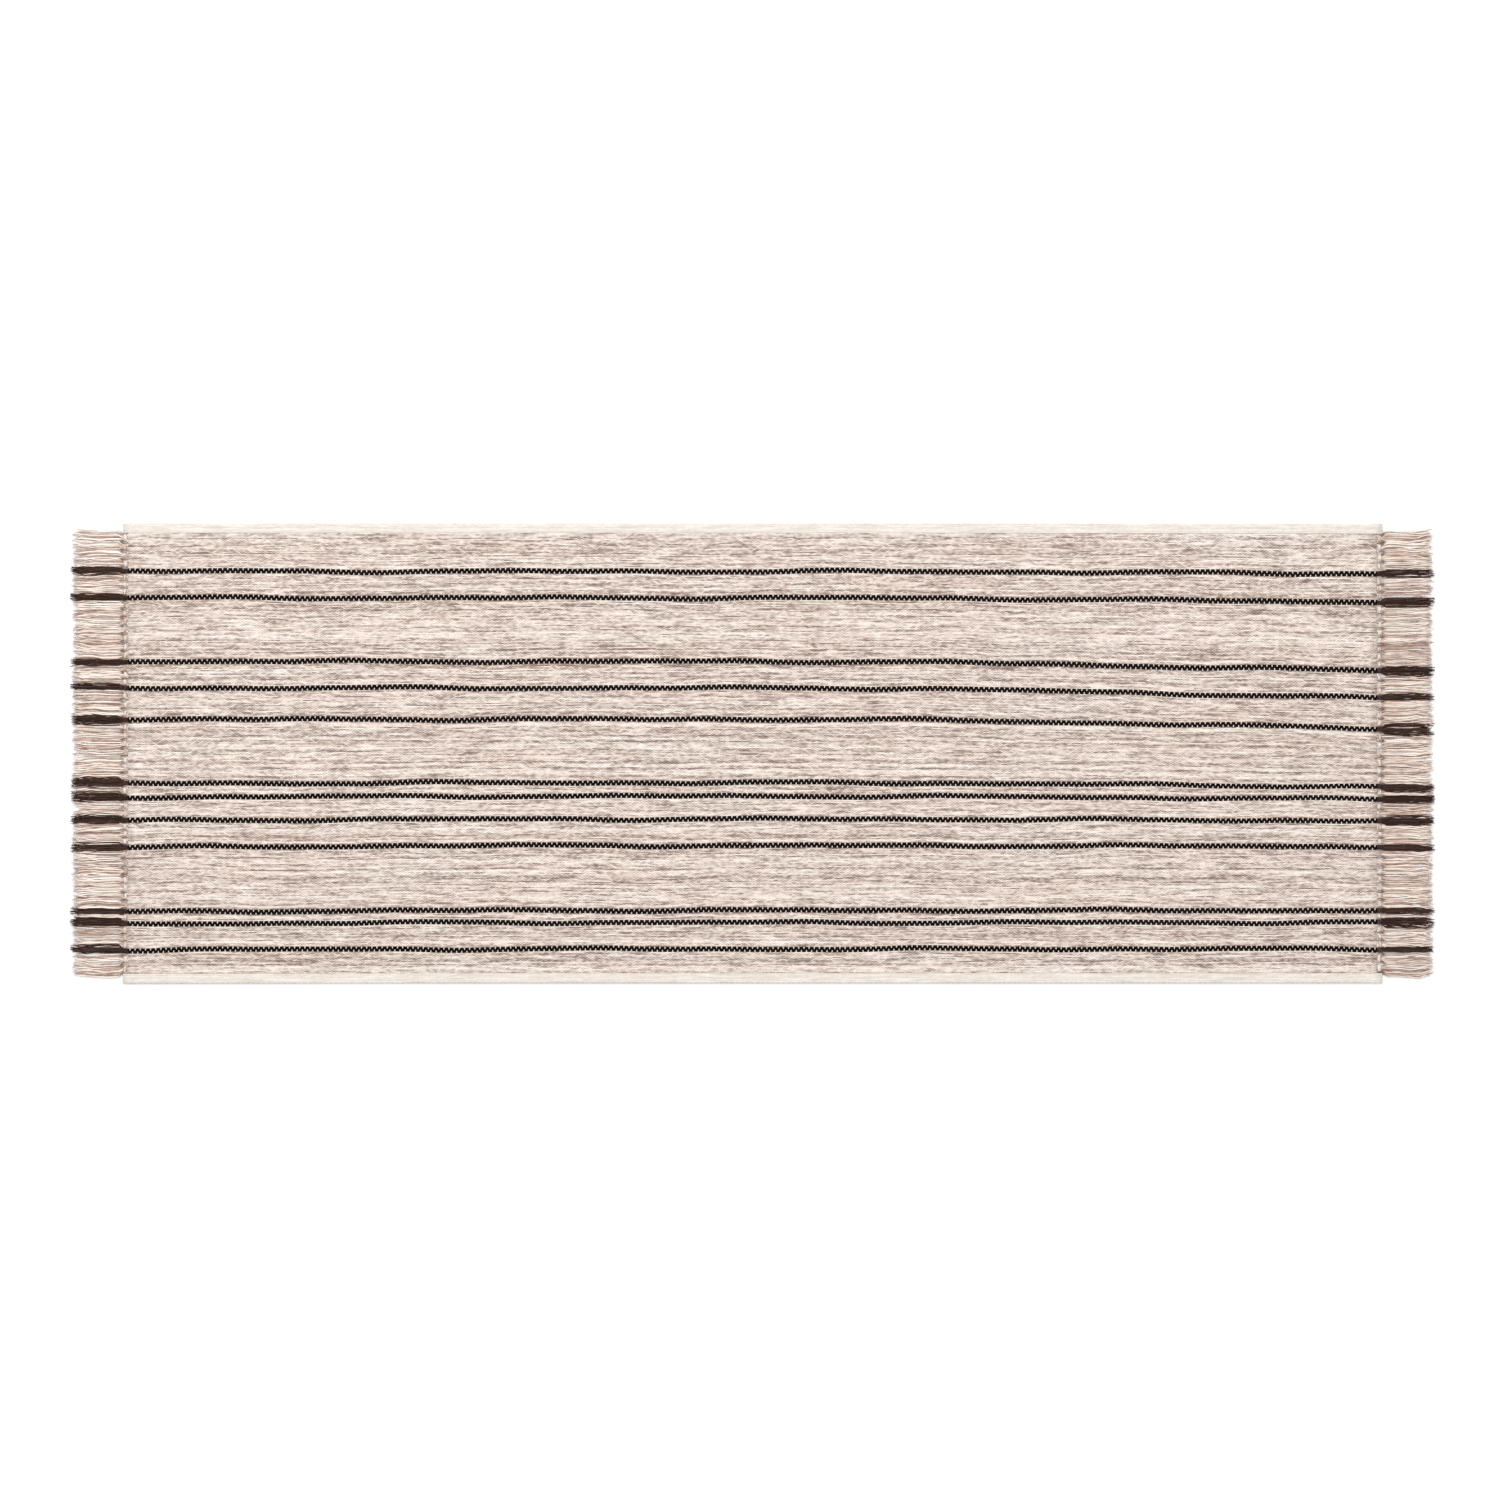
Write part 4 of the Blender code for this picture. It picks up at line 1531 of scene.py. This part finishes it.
@dataclass
class Rug:
    """The whole rug: woven bands and stripes, weft, and two fringed ends; the cloth, the weft and the
    knots ride on the rug's body.
    """

    lay: Lay = field(default_factory=Lay)
    yarns: Yarns = field(default_factory=Yarns)
    body: str = "rug"
    fold_start: float = 0.5 * MM  # how far past the knots a bend of the fringe would start
    fold_length: float = 12 * MM
    narrowest_sheet: float = 10 * MM  # a band narrower than this counts as part of its neighbour

    def _settle(self, piece: bpy.types.Object, slot: str, *nodes: str) -> bpy.types.Object:
        """Lets a piece of the cloth ride on the rug's body.

        Args:
            piece: the piece.
            slot: a name for its finish, passed on to `_report`.
            nodes: the nodes that it stands for.

        Returns:
            The same piece.
        """
        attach(piece, self.body)
        return self._report(piece, slot, nodes)

    def _fold(self, piece: bpy.types.Object, end: End, slot: str, *nodes: str) -> bpy.types.Object:
        """Bakes a piece's transform into its mesh, hides the nodes that it stands for, and logs it.

        Args:
            piece: the piece.
            end: not used.
            slot: a name for its finish, passed on to `_report`.
            nodes: the nodes that it stands for.

        Returns:
            The same piece.
        """
        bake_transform(piece)
        return self._report(piece, slot, nodes)

    @staticmethod
    def _report(piece: bpy.types.Object, slot: str, nodes: tuple[str, ...]) -> bpy.types.Object:
        """Hides the nodes that a piece stands for, and logs its number of faces.

        Args:
            piece: the piece.
            slot: not used.
            nodes: the nodes that it stands for.

        Returns:
            The same piece.
        """
        if nodes:
            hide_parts(*nodes)
        LOG.info("%s: %d faces", piece.name, len(piece.data.polygons))
        return piece

    def build_cloth(self) -> dict[str, bpy.types.Object]:
        """Makes the ground bands, the stripes and the selvedges.

        Returns:
            The pieces by the name of the node that each stands for.
        """
        ribbed, cords = RibbedCloth(self.lay), StripeCords(self.lay)
        made: dict[str, bpy.types.Object] = {}
        first = int(FirstThread.CLOTH)
        for strip in self.lay.strips:
            node = strip.node
            if strip.kind is Kind.STRIPE:
                piece = cords.build(strip, node.replace("_warp", "_cords"), self.yarns.stripe)
                made[node] = self._settle(piece, "stripe_yarn", node)
                continue
            if strip.kind is Kind.SELVEDGE:
                name, yarn, slot = f"{node}_cloth", self.yarns.selvedge, "selvedge_yarn"
            else:
                name, yarn, slot = node.replace("_warp", "_cloth"), self.yarns.ground, "ground_yarn"
            piece, ends = ribbed.build(strip, name, yarn, first)
            first += ends
            made[node] = self._settle(piece, slot, node)
        return made

    def build_weft(self) -> list[bpy.types.Object]:
        """Makes the weft's teeth on both faces and its turns.

        Returns:
            The three pieces.
        """
        weft = Weft(self.lay, StripeCords(self.lay))
        pieces = [
            weft.build_teeth("weft_teeth", 1.0, self.yarns.weft),
            weft.build_teeth("weft_teeth_under", -1.0, self.yarns.weft),
            weft.build_turns("weft_turns", self.yarns.weft),
        ]
        return [self._settle(piece, "weft_yarn", "weft") for piece in pieces]

    def build_end(self, end: End) -> tuple[list[bpy.types.Object], list[bpy.types.Object]]:
        """Makes one end of the rug.

        Args:
            end: which end.

        Returns:
            The knots and pale strands, and the tassels.
        """
        fringed = FringedEnd(self.lay, end)
        letter = end.letter
        knots = fringed.build_knots(f"knots_{letter}", False, self.yarns.knot)
        dark = fringed.build_knots(f"dark_knots_{letter}", True, self.yarns.tassel)
        self._settle(knots, "knot_yarn", f"knot_row_{letter}")
        self._settle(dark, "tassel_yarn")
        pieces, tassels = [knots, dark], []
        for piece in fringed.build_pale(f"pale_strands_{letter}", self.yarns.fringe):
            pieces.append(self._fold(piece, end, "fringe_yarn", f"fringe_{letter}"))
        for bunch in fringed.bunches:
            if bunch.dark:
                node = f"tassel_{letter}_{bunch.number:02d}"
                piece = fringed.build_tassel(bunch, f"{node}_strands", self.yarns.tassel)
                tassels.append(self._fold(piece, end, "tassel_yarn", node))
        return pieces, tassels

    def declare_sheets(
        self,
        cloth: dict[str, bpy.types.Object],
        shared: list[bpy.types.Object],
        tassels: list[bpy.types.Object],
    ) -> None:
        """Groups every band of cloth with the pieces woven into it, and works out each band's width.

        A stripe, and a band too narrow to be a sheet of its own, go with the band before them, and so
        do the tassels that the stripe runs out into. The weft, the knots and the pale fringe go with
        the second band, the first of the ground.

        Args:
            cloth: the woven pieces, by their nodes' names.
            shared: the weft, the knots and the pale fringe.
            tassels: every tassel.
        """
        bands: list[tuple[Strip, list[bpy.types.Object]]] = []
        for strip in self.lay.strips:
            width = float(strip.upper[0] - strip.lower[0])
            if strip.kind is not Kind.STRIPE and width >= self.narrowest_sheet:
                bands.append((strip, []))
                continue
            bands[-1][1].append(cloth[strip.node])
            if strip.kind is Kind.STRIPE:
                number = strip.node[-2:]
                bands[-1][1].extend(tassel for tassel in tassels if tassel.name.split("_")[2] == number)
        bands[1][1].extend(shared)
        for strip, woven_in in bands:
            width = float(strip.upper[0] - strip.lower[0])

    def build(self) -> None:
        """Makes every piece of the rug."""
        cloth = self.build_cloth()
        shared = self.build_weft()
        tassels: list[bpy.types.Object] = []
        for end in End:
            pale, dark = self.build_end(end)
            shared.extend(pale)
            tassels.extend(dark)
        self.declare_sheets(cloth, shared, tassels)


# ------------------------------------------------------------------------ the studio


@dataclass
class Studio:
    """A white floor, soft light from above, and a camera that looks straight down."""

    frame_width: float = 1.984  # the width that the picture takes in, at the rug
    lens_mm: float = 100.0
    sensor_mm: float = 36.0
    aim: tuple[float, float] = (-3.3 * MM, 4 * MM)
    floor_size: float = 14.0
    key_size: float = 4.3
    key_power: float = 208.0
    key_place: tuple[float, float, float] = (-0.9, 3.5, 4.3)
    sky: float = 0.80

    def build(self) -> None:
        """Sets up floor, lights, camera and the picture's colours."""
        self._floor()
        self._lights()
        self._camera()
        bpy.context.scene.view_settings.view_transform = "Standard"

    def _floor(self) -> None:
        """Lays the floor as one square at the rug's underside."""
        half = self.floor_size / 2
        corners = [(-half, -half, 0.0), (half, -half, 0.0), (half, half, 0.0), (-half, half, 0.0)]
        mesh = bpy.data.meshes.new("floor")
        mesh.from_pydata(corners, [], [(0, 1, 2, 3)])
        mesh.materials.append(PaperFloor().material())
        floor = bpy.data.objects.new("floor", mesh)
        bpy.context.scene.collection.objects.link(floor)

    def _lights(self) -> None:
        """Hangs one wide soft light up and to the left, under an even white sky."""
        key = bpy.data.lights.new("key", "AREA")
        key.shape = "DISK"
        key.size = self.key_size
        key.energy = self.key_power
        lamp = bpy.data.objects.new("key", key)
        lamp.location = self.key_place
        away = -np.array(self.key_place)
        lamp.rotation_euler = (
            math.atan2(math.hypot(away[0], away[1]), -away[2]),
            0.0,
            math.atan2(away[1], away[0]) - math.pi / 2,
        )
        bpy.context.scene.collection.objects.link(lamp)
        world = bpy.data.worlds.new("white_sky")
        world.use_nodes = True
        world.node_tree.nodes["Background"].inputs["Strength"].default_value = self.sky
        world.node_tree.nodes["Background"].inputs["Color"].default_value = (1.0, 1.0, 1.0, 1.0)
        bpy.context.scene.world = world

    def _camera(self) -> None:
        """Stands the camera over the rug, as far away as its lens needs to take in the frame."""
        camera = bpy.data.cameras.new("camera")
        camera.lens = self.lens_mm
        camera.sensor_width = self.sensor_mm
        camera.clip_end = 100.0
        distance = self.frame_width / 2 / (self.sensor_mm / 2 / self.lens_mm)
        seen = bpy.data.objects.new("camera", camera)
        seen.location = (*self.aim, distance)
        bpy.context.scene.collection.objects.link(seen)
        bpy.context.scene.camera = seen


def main() -> None:
    """Builds the studio and the rug."""
    logging.basicConfig(level=logging.INFO, format="%(name)s %(message)s")
    Studio().build()
    Rug().build()


if __name__ == "__main__":
    main()
